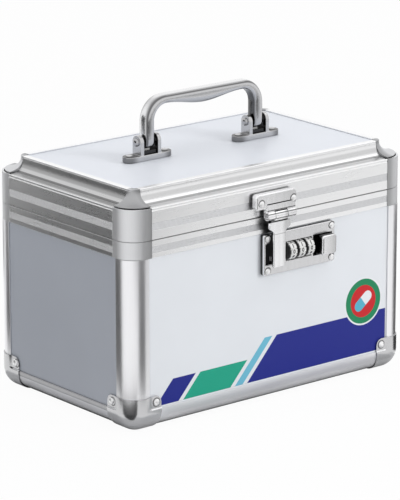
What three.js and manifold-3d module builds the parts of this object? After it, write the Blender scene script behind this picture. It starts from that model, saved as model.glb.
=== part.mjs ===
// Medication lock box: an aluminium-framed case with a hinged lid, a folding bail handle
// and a combination hasp lock. Millimetres. The front faces -Y, +Z is up.
import * as THREE from 'three';
import { RoundedBoxGeometry } from 'three/addons/geometries/RoundedBoxGeometry.js';
import { mergeVertices } from 'three/addons/utils/BufferGeometryUtils.js';
import Module from 'manifold-3d';

// Overall sizes of the case.
const LENGTH = 250;
const DEPTH = 154.5;
const SEAM_HEIGHT = 134.75;
const RIM_HEIGHT = 12.3;
const LID_BAND_HEIGHT = 22.3;
const CROWN_HEIGHT = 10.75;
const TOP_HEIGHT = SEAM_HEIGHT + LID_BAND_HEIGHT + CROWN_HEIGHT;

// Clearances and the overrun that every cut shares.
const SEAT_GAP = 0.2;
const SEAM_GAP = 0.3;
const RUNNING_GAP = 0.3;
const OVERRUN = 1;
const MERGE_TOLERANCE = 1e-4;

// Frame sections: posts and bottom rails share one extrusion.
const FRAME_INSET = 0.6;
const FRAME_RADIUS = 13.5;
const FRAME_SKIN = 0.7;
const FRAME_LEG = 16.7;
const RAIL_TOP = 15.7;
const SLOT_START = 14.4;
const PANEL_THICKNESS = 3;
const FRAME_INNER_SKIN = 1.2;
const PANEL_INSET = FRAME_INSET + FRAME_SKIN + SEAT_GAP;
const SLOT_INNER = PANEL_INSET + PANEL_THICKNESS + SEAT_GAP;
const FRAME_INNER = SLOT_INNER + FRAME_INNER_SKIN;
const PANEL_EDGE = SLOT_START + SEAT_GAP;

// Corner caps of thin sheet over the bottom corners.
const CAP_SHEET = 0.6;
const CAP_LEG = 26.5;
const CAP_HEIGHT = 25;
const CAP_EAR_ROUND = 5;
const CAP_EAR_STEP = 0.55;
const CAP_RIVET_INSET = 4.3;
const CAP_RIVET_RADIUS = 2.5;
const CAP_RIVET_RISE = 1.3;
const CAP_PROUD = CAP_SHEET + SEAT_GAP;
const CAP_FACE = FRAME_INSET - CAP_PROUD;

// Ribbed rim of the case and band of the lid.
const BAND_LEG = 18.7;
const BAND_RADIUS = 16;
const BAND_WALL = 1.5;
const RIM_PANEL_SLOT = 7.5;
const RIM_STRIPE_START = 3.3;
const RIM_STRIPE_HEIGHT = 4.8;
const LID_STRIPE_START = 6.5;
const LID_STRIPE_HEIGHT = 5.3;
const RIB_COUNT = 6;
const RIB_DEPTH = 0.35;
const EDGE_BEVEL = 0.3;

// Bead, ledge, cove and lip above the lid band.
const BEAD_HEIGHT = 1.8;
const BEAD_GROOVE = 0.45;
const LEDGE_DEPTH = 4.9;
const LEDGE_RISE = 0.4;
const COVE_RADIUS = 7.4;
const LIP_HEIGHT = 1.1;
const LIP_GROOVE = 0.4;
const TOP_FLANGE = 4.4;
const TOP_SKIN = 0.7;
const TOP_PANEL_THICKNESS = 2.8;
const COVE_STEPS = 6;
const COVE_CORNER_GAP = 0.6;
const COVE_CORNER_RIM = 0.8;
const COVE_CORNER_INSET = 0.9;
const COVE_CORNER_SEGMENTS = 32;

// Lid top: where the lip stands and what the panel slot leaves.
const LID_BOTTOM = SEAM_HEIGHT + SEAM_GAP / 2;
const LID_BAND_TOP = SEAM_HEIGHT + LID_BAND_HEIGHT;
const LIP_INSET = LEDGE_DEPTH + COVE_RADIUS;
const TOP_SLOT = LIP_INSET + BAND_WALL + LIP_GROOVE;
const TOP_PANEL_EDGE = TOP_SLOT + SEAT_GAP;
const TOP_PANEL_TOP = TOP_HEIGHT - TOP_SKIN - SEAT_GAP;
const TOP_PANEL_BOTTOM = TOP_PANEL_TOP - TOP_PANEL_THICKNESS;
const RIM_TOP = SEAM_HEIGHT - SEAM_GAP / 2;
const RIM_BOTTOM = SEAM_HEIGHT - RIM_HEIGHT;

// Rear hinges.
const HINGE_OFFSET = 70;
const HINGE_WIDTH = 32;
const HINGE_LEAF = 1.2;
const HINGE_RADIUS = 2.6;
const HINGE_BORE = 1.4;
const HINGE_PIN_RADIUS = 1.1;
const HINGE_KNUCKLE_WIDTH = 10.5;
const HINGE_LOWER_REACH = 10.6;
const HINGE_UPPER_REACH = 14;
const HINGE_RIVET_RADIUS = 1.8;
const HINGE_RIVET_RISE = 0.7;
const HINGE_RIVET_INSET = 4;
const HINGE_AXIS = SEAT_GAP + HINGE_RADIUS;
const HINGE_PROUD = HINGE_AXIS + HINGE_RADIUS;

// Handle: a bail between two clevis brackets.
const HANDLE_HALF_SPAN = 49;
const HANDLE_PIVOT_RISE = 12.2;
const HANDLE_REACH = 31.5;
const HANDLE_PIVOT_HEIGHT = TOP_HEIGHT + HANDLE_PIVOT_RISE;
const HANDLE_TOP = HANDLE_PIVOT_HEIGHT + HANDLE_REACH;
const HANDLE_DEPTH = 10.2;
const HANDLE_LEG_WIDTH = 8.4;
const HANDLE_BAR_HEIGHT = 6.8;
const HANDLE_BELLY = 4;
const HANDLE_BEND = 14.5;
const HANDLE_ROUNDNESS = 2.7;
const HANDLE_SIDES = 16;
const HANDLE_BEND_STEPS = 6;
const HANDLE_BAR_STEPS = 12;
const HANDLE_END_STEPS = 4;
const HANDLE_LEG_STEPS = 2;
const BRACKET_LENGTH = 40;
const BRACKET_DEPTH = 10;
const BRACKET_BASE = 4.2;
const BRACKET_EAR = 3.2;
const BRACKET_GAP = 11.8;
const BRACKET_EAR_RADIUS = 4.8;
const BRACKET_SCREW_INSET = 4.6;
const BRACKET_SCREW_RADIUS = 2.7;
const BRACKET_SCREW_RISE = 0.8;
const HANDLE_PIN_RADIUS = 1.9;
const HANDLE_PIN_BORE = 2.2;
const HANDLE_PIN_HEAD = 2.8;
const HANDLE_PIN_HEAD_RISE = 1.7;

// Lock plate: it hangs under the rim, and "proud" is measured from the rim's face.
const LOCK_TOP_GAP = 0.65;
const LOCK_TOP_MARGIN = 1.4;
const LOCK_SIDE_MARGIN = 1.4;
const LOCK_BUTTON_MARGIN = 2.8;
const LOCK_FOOT_MARGIN = 3.6;
const LOCK_PROUD = 2.8;
const LOCK_ROUND = 1.4;
const LOCK_SKIN = 0.9;
const LOCK_RIVET_INSET = 3;
const LOCK_RIVET_RADIUS = 2.3;
const LOCK_RIVET_RISE = 1.2;
const LOCK_COVER_WALL = 1.2;
const LOCK_COVER_DEPTH = 3.4;
const LOCK_COVER_MARGIN = 3;

// Slot that takes the staple, and the channel that lets it lift out.
const SLOT_WIDTH = 16.4;
const SLOT_HEIGHT = 14.9;
const SLOT_NECK_WIDTH = 12.8;
const SLOT_NECK_HEIGHT = 5.2;
const CHANNEL_SIDE = 0.8;

// Three number dials on a shaft.
const DIAL_COUNT = 3;
const DIAL_WIDTH = 6.7;
const DIAL_SPACER = 1.35;
const DIAL_PITCH = DIAL_WIDTH + DIAL_SPACER;
const DIAL_RADIUS = 6.5;
const DIAL_NOTCH = 0.7;
const DIAL_NUMBERS = 10;
const DIAL_FLAT_SHARE = 0.72;
const DIAL_DROP = 14.6;
const DIAL_PROUD = 0.9;
const DIAL_BORE = 1.2;
const DIAL_SHAFT_RADIUS = 1;
const DIAL_SHAFT_END = 0.7;
const DIAL_WINDOW_SIDE = 0.45;

// Slide button and its bolt.
const BUTTON_WIDTH = 12.8;
const BUTTON_HEIGHT = 13.8;
const BUTTON_BELOW_DIALS = 0.2;
const BUTTON_PROUD = 8.5;
const BUTTON_ROUND = 1.6;
const BUTTON_TRAVEL = 3.8;
const BUTTON_WINDOW_SIDE = 0.45;
const BUTTON_WINDOW_WALL = 1.25;
const BOLT_UPRIGHT = 1.9;
const BOLT_BAR = 2.8;
const BOLT_BELOW_DIALS = 1.4;
const BOLT_DIAL_GAP = 0.8;
const BOLT_TONGUE_THICKNESS = 1.5;

// Hasp: a plate on the lid band, a pin and a swinging arm with a staple.
const HASP_LEFT = -20.2;
const HASP_LENGTH = 36;
const HASP_ABOVE_AXIS = 5.5;
const HASP_HEIGHT = 10.8;
const HASP_PROUD = 6.3;
const HASP_ROUND = 2.4;
const HASP_RIVET_LEFT_INSET = 4.4;
const HASP_RIVET_RIGHT_INSET = 3;
const HASP_RIVET_HEIGHT = 4.3;
const HASP_RIVET_RADIUS = 2.3;
const HASP_RIVET_RISE = 1.4;
const HASP_NECK_OVERLAP = 2.8;
const HASP_AXIS_RISE = 1.25;
const HASP_AXIS_PROUD = 5.5;
const HASP_BARREL_RADIUS = 3.2;
const HASP_BARREL_LEFT = -10.6;
const HASP_BARREL_LENGTH = 25;
const HASP_KNUCKLE_START = 6.4;
const HASP_KNUCKLE_LENGTH = 10.8;
const HASP_BORE = 1.35;
const HASP_PIN_RADIUS = 1.1;
const HASP_PIN_HEAD = 0.5;
const ARM_FRONT_PROUD = 7;
const ARM_THICKNESS = 2;
const ARM_CENTRE = 0.4;
const ARM_WIDTH = 10.7;
const ARM_HEAD_WIDTH = 19.2;
const ARM_BELOW_STAPLE = 2.5;
const ARM_HEAD_DROP = 4.8;
const ARM_HEAD_DEPTH = 3.7;
const ARM_SHOULDER_DEPTH = 4.5;
const ARM_STRIP_WIDTH = 14.4;
const ARM_ROUND = 1.2;
const STAPLE_WIDTH = 6.2;
const STAPLE_SHIFT = -0.2;
const STAPLE_FLOOR_GAP = 0.9;
const STAPLE_FOOT_WALL = 1;
const STAPLE_HEAD_WALL = 1.3;
const STAPLE_TIP_PROUD = -1;
const STAPLE_EYE_PROUD = -0.1;
const STAPLE_EYE_DEPTH = 2.1;
const STAPLE_EYE_HEIGHT = 3;
const TONGUE_GAP = 0.3;

// Round pieces.
const ROUND_SEGMENTS = 24;
const SMALL_SEGMENTS = 12;
const DOME_STEPS = 3;

// The rim's front face, which the lock's "proud" sizes start from.
const FRONT_FACE = -DEPTH / 2;
const BACK_FACE = DEPTH / 2;
const LOCK_BACK = SEAT_GAP - PANEL_INSET;
const LOCK_POCKET = LOCK_PROUD - LOCK_SKIN;

// Lock heights, from the rim down: the slot, the staple, the dials, the button and the bolt.
const LOCK_TOP = RIM_BOTTOM - LOCK_TOP_GAP;
const SLOT_CEILING = LOCK_TOP - LOCK_TOP_MARGIN;
const SLOT_SHOULDER = SLOT_CEILING - SLOT_NECK_HEIGHT;
const SLOT_FLOOR = SLOT_SHOULDER - SLOT_HEIGHT;
const STAPLE_BOTTOM = SLOT_FLOOR + STAPLE_FLOOR_GAP;
const STAPLE_EYE_BOTTOM = STAPLE_BOTTOM + STAPLE_FOOT_WALL;
const STAPLE_HEIGHT = STAPLE_FOOT_WALL + STAPLE_EYE_HEIGHT + STAPLE_HEAD_WALL;
const TONGUE_BOTTOM = STAPLE_EYE_BOTTOM + TONGUE_GAP;
const TONGUE_TOP = STAPLE_EYE_BOTTOM + STAPLE_EYE_HEIGHT - TONGUE_GAP;
const DIAL_HEIGHT = LOCK_TOP - DIAL_DROP;
const BUTTON_BOTTOM = DIAL_HEIGHT - BUTTON_BELOW_DIALS - BUTTON_HEIGHT / 2;
const BOLT_BOTTOM = DIAL_HEIGHT - DIAL_RADIUS - BOLT_BELOW_DIALS - BOLT_BAR;
const LOCK_BOTTOM = BOLT_BOTTOM - LOCK_FOOT_MARGIN;

// Lock lengths, from the staple to the right: the bolt, the slot, the dials and the button.
const STAPLE_LEFT = ARM_CENTRE + STAPLE_SHIFT - STAPLE_WIDTH / 2;
const STAPLE_RIGHT = STAPLE_LEFT + STAPLE_WIDTH;
const BOLT_LEFT = STAPLE_RIGHT + BUTTON_TRAVEL + TONGUE_GAP;
const TONGUE_REACH = BUTTON_TRAVEL - TONGUE_GAP;
const SLOT_RIGHT = BOLT_LEFT + SEAT_GAP;
const SLOT_LEFT = SLOT_RIGHT - SLOT_WIDTH;
const SLOT_NECK_LEFT = SLOT_RIGHT - SLOT_NECK_WIDTH;
const LOCK_LEFT = SLOT_LEFT - LOCK_SIDE_MARGIN;
const DIAL_START = BOLT_LEFT + BOLT_UPRIGHT + BOLT_DIAL_GAP;
const DIALS_RIGHT = DIAL_START + (DIAL_COUNT - 1) * DIAL_PITCH + DIAL_WIDTH;
const DIAL_WINDOW_LEFT = DIAL_START - DIAL_WINDOW_SIDE;
const DIAL_WINDOW_RIGHT = DIALS_RIGHT + DIAL_WINDOW_SIDE;
const BUTTON_WINDOW_LEFT = DIAL_WINDOW_RIGHT + BUTTON_WINDOW_WALL;
const BUTTON_LEFT = BUTTON_WINDOW_LEFT + SEAT_GAP + BUTTON_TRAVEL;
const BUTTON_RIGHT = BUTTON_LEFT + BUTTON_WIDTH;
const BUTTON_WINDOW_RIGHT = BUTTON_RIGHT + BUTTON_WINDOW_SIDE;
const LOCK_RIGHT = BUTTON_RIGHT + LOCK_BUTTON_MARGIN;

// Hasp heights, from the seam: the pin's axis, the plate above it and the arm below it.
const HASP_AXIS_HEIGHT = SEAM_HEIGHT + HASP_AXIS_RISE;
const HASP_BOTTOM = HASP_AXIS_HEIGHT + HASP_ABOVE_AXIS;
const HASP_NECK_TOP = HASP_BOTTOM + HASP_NECK_OVERLAP;
const ARM_HEAD_TOP = HASP_AXIS_HEIGHT - ARM_HEAD_DROP;
const ARM_HEAD_HEIGHT = ARM_HEAD_TOP - ARM_HEAD_DEPTH;
const ARM_NECK_HEIGHT = ARM_HEAD_HEIGHT - ARM_SHOULDER_DEPTH;
const ARM_BOTTOM = STAPLE_BOTTOM - ARM_BELOW_STAPLE;

const FINISHES = {
  aluminium: { color: 0xb9bbbe, roughness: 0.4, metalness: 0.9 },
  bandMetal: { color: 0xc9cbce, roughness: 0.45, metalness: 0.8 },
  casting: { color: 0x9fa1a4, roughness: 0.45, metalness: 0.85 },
  whitePanel: { color: 0xe1e4e8, roughness: 0.5, metalness: 0 },
  greyPanel: { color: 0xd2d5da, roughness: 0.5, metalness: 0 },
  topPanel: { color: 0xe9edf5, roughness: 0.45, metalness: 0 },
  chrome: { color: 0xd4d6d8, roughness: 0.15, metalness: 1 },
  nickel: { color: 0xb4b5b6, roughness: 0.25, metalness: 1 },
  dial: { color: 0xd8d4c6, roughness: 0.5, metalness: 0.2 },
  steel: { color: 0x8f9193, roughness: 0.35, metalness: 1 },
};

const wasm = await Module();
wasm.setup();

// A closed three.js geometry as a solid for joins and cuts.
function solid(geometry) {
  const bare = geometry.clone();
  bare.deleteAttribute('normal');
  bare.deleteAttribute('uv');
  const merged = mergeVertices(bare, MERGE_TOLERANCE);
  return new wasm.Manifold(new wasm.Mesh({
    numProp: 3,
    vertProperties: new Float32Array(merged.attributes.position.array),
    triVerts: new Uint32Array(merged.index.array),
  }));
}

function geometryOf(body) {
  const mesh = body.getMesh();
  const geometry = new THREE.BufferGeometry();
  geometry.setAttribute('position', new THREE.BufferAttribute(new Float32Array(mesh.vertProperties), 3));
  geometry.setIndex(new THREE.BufferAttribute(new Uint32Array(mesh.triVerts), 1));
  return geometry;
}

function piece(name, body, finish) {
  const mesh = new THREE.Mesh(geometryOf(body), new THREE.MeshStandardMaterial(FINISHES[finish]));
  mesh.name = name;
  return mesh;
}

function boxBetween(x0, x1, y0, y1, z0, z1) {
  const geometry = new THREE.BoxGeometry(x1 - x0, y1 - y0, z1 - z0);
  geometry.translate((x0 + x1) / 2, (y0 + y1) / 2, (z0 + z1) / 2);
  return solid(geometry);
}

// A closed outline from a list of points.
function outline(points) {
  return new THREE.Shape(points.map(([a, b]) => new THREE.Vector2(a, b)));
}

function extruded(shape, length, curveSegments = DOME_STEPS) {
  return new THREE.ExtrudeGeometry(shape, { depth: length, bevelEnabled: false, curveSegments });
}

// An outline in Y and Z, drawn out along X.
function prismX(shape, x0, x1, curveSegments) {
  const geometry = extruded(shape, x1 - x0, curveSegments);
  const basis = new THREE.Matrix4().makeBasis(
    new THREE.Vector3(0, 1, 0), new THREE.Vector3(0, 0, 1), new THREE.Vector3(1, 0, 0));
  geometry.applyMatrix4(basis);
  geometry.translate(x0, 0, 0);
  return solid(geometry);
}

// An outline in X and Z, drawn out along Y.
function prismY(shape, y0, y1, curveSegments) {
  const geometry = extruded(shape, y1 - y0, curveSegments);
  geometry.rotateX(Math.PI / 2);
  geometry.translate(0, y1, 0);
  return solid(geometry);
}

// An outline in X and Y, drawn out along Z.
function prismZ(shape, z0, z1, curveSegments) {
  const geometry = extruded(shape, z1 - z0, curveSegments);
  geometry.translate(0, 0, z0);
  return solid(geometry);
}

function cylinderX(radius, x0, x1, y, z, segments = ROUND_SEGMENTS) {
  const geometry = new THREE.CylinderGeometry(radius, radius, x1 - x0, segments);
  geometry.rotateZ(Math.PI / 2);
  geometry.translate((x0 + x1) / 2, y, z);
  return solid(geometry);
}

// A domed head on the Y axis, rising towards +Y from a base sunk below zero.
function dome(radius, rise, sink) {
  const points = [new THREE.Vector2(0, -sink), new THREE.Vector2(radius, -sink)];
  for (let i = 0; i <= DOME_STEPS; i += 1) {
    const angle = (i / DOME_STEPS) * (Math.PI / 2);
    points.push(new THREE.Vector2(i < DOME_STEPS ? radius * Math.cos(angle) : 0, rise * Math.sin(angle)));
  }
  return new THREE.LatheGeometry(points, SMALL_SEGMENTS);
}

// The same head on a front face, rising towards -Y.
function domeFront(radius, rise, sink, x, y, z) {
  const geometry = dome(radius, rise, sink);
  geometry.rotateX(Math.PI);
  geometry.translate(x, y, z);
  return solid(geometry);
}

// A rectangle with rounded corners.
function roundedRectangle(x0, x1, y0, y1, radius) {
  const shape = new THREE.Shape();
  shape.moveTo(x0 + radius, y0);
  shape.lineTo(x1 - radius, y0);
  shape.absarc(x1 - radius, y0 + radius, radius, -Math.PI / 2, 0);
  shape.lineTo(x1, y1 - radius);
  shape.absarc(x1 - radius, y1 - radius, radius, 0, Math.PI / 2);
  shape.lineTo(x0 + radius, y1);
  shape.absarc(x0 + radius, y1 - radius, radius, Math.PI / 2, Math.PI);
  shape.lineTo(x0, y0 + radius);
  shape.absarc(x0 + radius, y0 + radius, radius, Math.PI, 1.5 * Math.PI);
  return shape;
}

const group = new THREE.Group();
const caseGroup = new THREE.Group();
const lidGroup = new THREE.Group();
group.add(caseGroup, lidGroup);
group.position.y = (Math.max(BUTTON_PROUD, HASP_AXIS_PROUD + HASP_BARREL_RADIUS) - HINGE_PROUD) / 2;

const SIDES = [
  { name: 'front', turn: 0, along: LENGTH, across: DEPTH },
  { name: 'right', turn: Math.PI / 2, along: DEPTH, across: LENGTH },
  { name: 'back', turn: Math.PI, along: LENGTH, across: DEPTH },
  { name: 'left', turn: -Math.PI / 2, along: DEPTH, across: LENGTH },
];

const CORNERS = [
  { name: 'front_left', x: -1, y: -1, turn: 0 },
  { name: 'front_right', x: 1, y: -1, turn: Math.PI / 2 },
  { name: 'back_right', x: 1, y: 1, turn: Math.PI },
  { name: 'back_left', x: -1, y: 1, turn: -Math.PI / 2 },
];

// Side pieces are drawn for the front, outer face at y = 0 and inwards as +Y, then turned.
function addSidePieces(parent, suffix, finish, build) {
  for (const side of SIDES) {
    const mesh = piece(`${side.name}_${suffix}`, build(side), finish);
    const frame = new THREE.Group();
    mesh.position.y = -side.across / 2;
    frame.rotation.z = side.turn;
    frame.add(mesh);
    parent.add(frame);
  }
}

// Corner pieces are drawn for the front left, outer corner at the origin, then turned.
function addCornerPieces(parent, suffix, finish, build) {
  const body = build();
  for (const corner of CORNERS) {
    const mesh = piece(`${suffix}_${corner.name}`, body, finish);
    mesh.position.set(corner.x * LENGTH / 2, corner.y * DEPTH / 2, 0);
    mesh.rotation.z = corner.turn;
    parent.add(mesh);
  }
}

// The section of a post, rail or rim corner: a quarter-round outside, two slots for the panels.
function frameSection(inset, radius, legA, legB) {
  const shape = new THREE.Shape();
  const skin = FRAME_INSET + FRAME_SKIN;
  shape.moveTo(legA, inset);
  shape.lineTo(legA, skin);
  shape.lineTo(SLOT_START, skin);
  shape.lineTo(SLOT_START, SLOT_INNER);
  shape.lineTo(legA, SLOT_INNER);
  shape.lineTo(legA, FRAME_INNER);
  shape.lineTo(FRAME_INNER, FRAME_INNER);
  shape.lineTo(FRAME_INNER, legB);
  shape.lineTo(SLOT_INNER, legB);
  shape.lineTo(SLOT_INNER, SLOT_START);
  shape.lineTo(skin, SLOT_START);
  shape.lineTo(skin, legB);
  shape.lineTo(inset, legB);
  shape.lineTo(inset, inset + radius);
  shape.absarc(inset + radius, inset + radius, radius, Math.PI, 1.5 * Math.PI);
  return shape;
}

// Points up the outer face of a ribbed stripe, from its foot to its head.
function ribPoints(foot, height) {
  const points = [];
  const pitch = height / RIB_COUNT;
  for (let i = 0; i < RIB_COUNT; i += 1) {
    const z = foot + i * pitch;
    points.push([0, z], [RIB_DEPTH, z + pitch / 4], [RIB_DEPTH, z + pitch / 2], [0, z + pitch * 3 / 4]);
  }
  points.push([0, foot + height]);
  return points;
}

// Case: panels

const panelHalfLength = (along) => along / 2 - PANEL_EDGE;
const SECTION_DROP = CAP_PROUD - FRAME_INSET;
const PANEL_BOTTOM = PANEL_EDGE + SECTION_DROP;
const PANEL_TOP = RIM_BOTTOM + RIM_PANEL_SLOT - SEAT_GAP;

function sidePanel(side) {
  const half = panelHalfLength(side.along);
  const board = boxBetween(-half, half, PANEL_INSET, PANEL_INSET + PANEL_THICKNESS, PANEL_BOTTOM, PANEL_TOP);
  if (side.name !== 'front') {
    return board;
  }
  const opening = boxBetween(
    DIAL_WINDOW_LEFT, DIAL_WINDOW_RIGHT,
    PANEL_INSET - OVERRUN, PANEL_INSET + PANEL_THICKNESS + OVERRUN,
    DIAL_HEIGHT - DIAL_RADIUS - DIAL_WINDOW_SIDE, DIAL_HEIGHT + DIAL_RADIUS + DIAL_WINDOW_SIDE);
  return board.subtract(opening);
}

function bottomPanel() {
  const halfX = panelHalfLength(LENGTH);
  const halfY = panelHalfLength(DEPTH);
  const z = PANEL_INSET + SECTION_DROP;
  return boxBetween(-halfX, halfX, -halfY, halfY, z, z + PANEL_THICKNESS);
}

addSidePieces(caseGroup, 'panel', 'whitePanel', sidePanel);
caseGroup.add(piece('bottom_panel', bottomPanel(), 'greyPanel'));

// Case: posts, rails and rim

addCornerPieces(caseGroup, 'corner_post', 'aluminium', () => {
  const section = frameSection(FRAME_INSET, FRAME_RADIUS, FRAME_LEG, FRAME_LEG);
  return prismZ(section, FRAME_INSET + FRAME_RADIUS + SECTION_DROP + SEAT_GAP, RIM_BOTTOM - SEAT_GAP, 8);
});

addSidePieces(caseGroup, 'bottom_rail', 'aluminium', (side) => {
  const half = side.along / 2 - FRAME_LEG - SEAT_GAP;
  const section = frameSection(FRAME_INSET, FRAME_RADIUS, FRAME_LEG, RAIL_TOP - SECTION_DROP);
  return prismX(section, -half, half, 8).translate(0, 0, SECTION_DROP);
});

addSidePieces(caseGroup, 'rim_rail', 'bandMetal', (side) => {
  const half = side.along / 2 - BAND_LEG - SEAT_GAP;
  const skin = FRAME_INSET + FRAME_SKIN;
  const slotTop = RIM_BOTTOM + RIM_PANEL_SLOT;
  const section = outline([
    [EDGE_BEVEL, RIM_BOTTOM],
    [skin, RIM_BOTTOM],
    [skin, slotTop],
    [SLOT_INNER, slotTop],
    [SLOT_INNER, RIM_BOTTOM],
    [FRAME_INNER, RIM_BOTTOM],
    [FRAME_INNER, RIM_TOP],
    [EDGE_BEVEL, RIM_TOP],
    [0, RIM_TOP - EDGE_BEVEL],
    ...ribPoints(RIM_BOTTOM + RIM_STRIPE_START, RIM_STRIPE_HEIGHT).reverse(),
    [0, RIM_BOTTOM + EDGE_BEVEL],
  ]);
  return prismX(section, -half, half);
});

addCornerPieces(caseGroup, 'rim_corner', 'casting', () => {
  const section = frameSection(0, BAND_RADIUS, BAND_LEG, BAND_LEG);
  return prismZ(section, RIM_BOTTOM, RIM_TOP, 8);
});

// Case: corner caps of thin sheet

function capOutline() {
  const shape = new THREE.Shape();
  shape.moveTo(-CAP_LEG, -CAP_LEG);
  shape.lineTo(CAP_LEG, -CAP_LEG);
  shape.lineTo(CAP_LEG, CAP_HEIGHT - CAP_EAR_ROUND);
  shape.absarc(CAP_LEG - CAP_EAR_ROUND, CAP_HEIGHT - CAP_EAR_ROUND, CAP_EAR_ROUND, 0, Math.PI / 2);
  shape.lineTo(-CAP_LEG, CAP_HEIGHT);
  return shape;
}

// A rounded block whose corner lies at the given inset on the case's front left bottom corner.
function cornerBlock(inset, radius) {
  const size = 3 * CAP_LEG;
  const geometry = new RoundedBoxGeometry(size, size, size, 4, radius);
  geometry.translate(inset + size / 2, inset + size / 2, inset + SECTION_DROP + size / 2);
  return solid(geometry);
}

function capEar() {
  const start = FRAME_LEG + SEAT_GAP;
  const foot = RAIL_TOP + SEAT_GAP;
  return boxBetween(start, CAP_LEG, CAP_FACE + CAP_EAR_STEP, PANEL_INSET - SEAT_GAP, foot, CAP_HEIGHT);
}

function capEarCut() {
  const start = FRAME_LEG + SEAT_GAP + CAP_EAR_STEP;
  const foot = RAIL_TOP + SEAT_GAP + CAP_EAR_STEP;
  return boxBetween(
    start, CAP_LEG + OVERRUN, CAP_FACE - OVERRUN, CAP_FACE + CAP_EAR_STEP, foot, CAP_HEIGHT + OVERRUN);
}

// The same piece on the case's left side: X and Y change places.
function swapped(body) {
  return body.mirror([1, -1, 0]);
}

function cornerCap() {
  const outer = cornerBlock(CAP_FACE, FRAME_RADIUS + CAP_PROUD);
  const inner = cornerBlock(FRAME_INSET - SEAT_GAP, FRAME_RADIUS + SEAT_GAP);
  const front = prismY(capOutline(), -CAP_LEG, CAP_LEG);
  const plan = prismZ(roundedRectangle(-CAP_LEG, CAP_LEG, -CAP_LEG, CAP_LEG, CAP_EAR_ROUND), -CAP_LEG, CAP_HEIGHT);
  const sheet = outer.subtract(inner).add(capEar()).add(swapped(capEar()));
  const trimmed = sheet.intersect(front).intersect(swapped(front)).intersect(plan);
  const stepped = trimmed.subtract(capEarCut()).subtract(swapped(capEarCut()));
  const rivet = domeFront(
    CAP_RIVET_RADIUS, CAP_RIVET_RISE, CAP_SHEET,
    CAP_LEG - CAP_RIVET_INSET, CAP_FACE + CAP_EAR_STEP, CAP_HEIGHT - CAP_RIVET_INSET);
  return stepped.add(rivet).add(swapped(rivet));
}

addCornerPieces(caseGroup, 'corner_cap', 'chrome', cornerCap);

// Lid: band, ledge, cove and lip in one section, from the outer face inwards

const LIP_FOOT = TOP_HEIGHT - TOP_SKIN - LIP_HEIGHT;
const FLANGE_FOOT = TOP_PANEL_BOTTOM - SEAT_GAP - TOP_SKIN;

// A hollow quarter curve that starts level and ends upright.
function covePoints(u0, z0, u1, z1) {
  const points = [];
  for (let i = 0; i <= COVE_STEPS; i += 1) {
    const angle = (i / COVE_STEPS) * (Math.PI / 2);
    points.push([u0 + (u1 - u0) * Math.sin(angle), z0 + (z1 - z0) * (1 - Math.cos(angle))]);
  }
  return points;
}

function flangePoints() {
  const inner = LIP_INSET + TOP_FLANGE;
  return [
    [LIP_INSET, LIP_FOOT + LIP_HEIGHT / 2],
    [LIP_INSET + LIP_GROOVE, LIP_FOOT + LIP_HEIGHT * 3 / 4],
    [LIP_INSET + LIP_GROOVE, LIP_FOOT + LIP_HEIGHT],
    [LIP_INSET, LIP_FOOT + LIP_HEIGHT],
    [LIP_INSET, TOP_HEIGHT - EDGE_BEVEL],
    [LIP_INSET + EDGE_BEVEL, TOP_HEIGHT],
    [inner, TOP_HEIGHT],
    [inner, TOP_HEIGHT - TOP_SKIN],
    [TOP_SLOT, TOP_HEIGHT - TOP_SKIN],
    [TOP_SLOT, TOP_PANEL_BOTTOM - SEAT_GAP],
    [inner, TOP_PANEL_BOTTOM - SEAT_GAP],
  ];
}

function lidSection() {
  const beadFoot = LID_BAND_TOP - BEAD_HEIGHT;
  return outline([
    [BAND_WALL, LID_BOTTOM],
    [EDGE_BEVEL, LID_BOTTOM],
    [0, LID_BOTTOM + EDGE_BEVEL],
    ...ribPoints(SEAM_HEIGHT + LID_STRIPE_START, LID_STRIPE_HEIGHT),
    [0, beadFoot - BEAD_GROOVE],
    [BEAD_GROOVE, beadFoot],
    [0, beadFoot + BEAD_GROOVE],
    [0, LID_BAND_TOP - BEAD_GROOVE],
    [BEAD_GROOVE, LID_BAND_TOP],
    [2 * BEAD_GROOVE, LID_BAND_TOP],
    [3 * BEAD_GROOVE, LID_BAND_TOP - BEAD_GROOVE],
    [4 * BEAD_GROOVE, LID_BAND_TOP],
    ...covePoints(LEDGE_DEPTH, LID_BAND_TOP + LEDGE_RISE, LIP_INSET, LIP_FOOT),
    ...flangePoints(),
    ...covePoints(LEDGE_DEPTH, LID_BAND_TOP - BAND_WALL, LIP_INSET + TOP_FLANGE, FLANGE_FOOT).reverse(),
    [BAND_WALL, LID_BAND_TOP - BAND_WALL],
  ].reverse());
}

addSidePieces(lidGroup, 'lid_rail', 'bandMetal', (side) => {
  const half = side.along / 2 - BAND_LEG - SEAT_GAP;
  return prismX(lidSection(), -half, half);
});

addCornerPieces(lidGroup, 'lid_corner', 'casting', () => {
  const shape = new THREE.Shape();
  const inner = BAND_RADIUS - BAND_WALL;
  shape.moveTo(BAND_LEG, 0);
  shape.lineTo(BAND_LEG, BAND_WALL);
  shape.lineTo(BAND_RADIUS, BAND_WALL);
  shape.absarc(BAND_RADIUS, BAND_RADIUS, inner, 1.5 * Math.PI, Math.PI, true);
  shape.lineTo(BAND_WALL, BAND_LEG);
  shape.lineTo(0, BAND_LEG);
  shape.lineTo(0, BAND_RADIUS);
  shape.absarc(BAND_RADIUS, BAND_RADIUS, BAND_RADIUS, Math.PI, 1.5 * Math.PI);
  return prismZ(shape, LID_BOTTOM, LID_BAND_TOP, 8);
});

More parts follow.
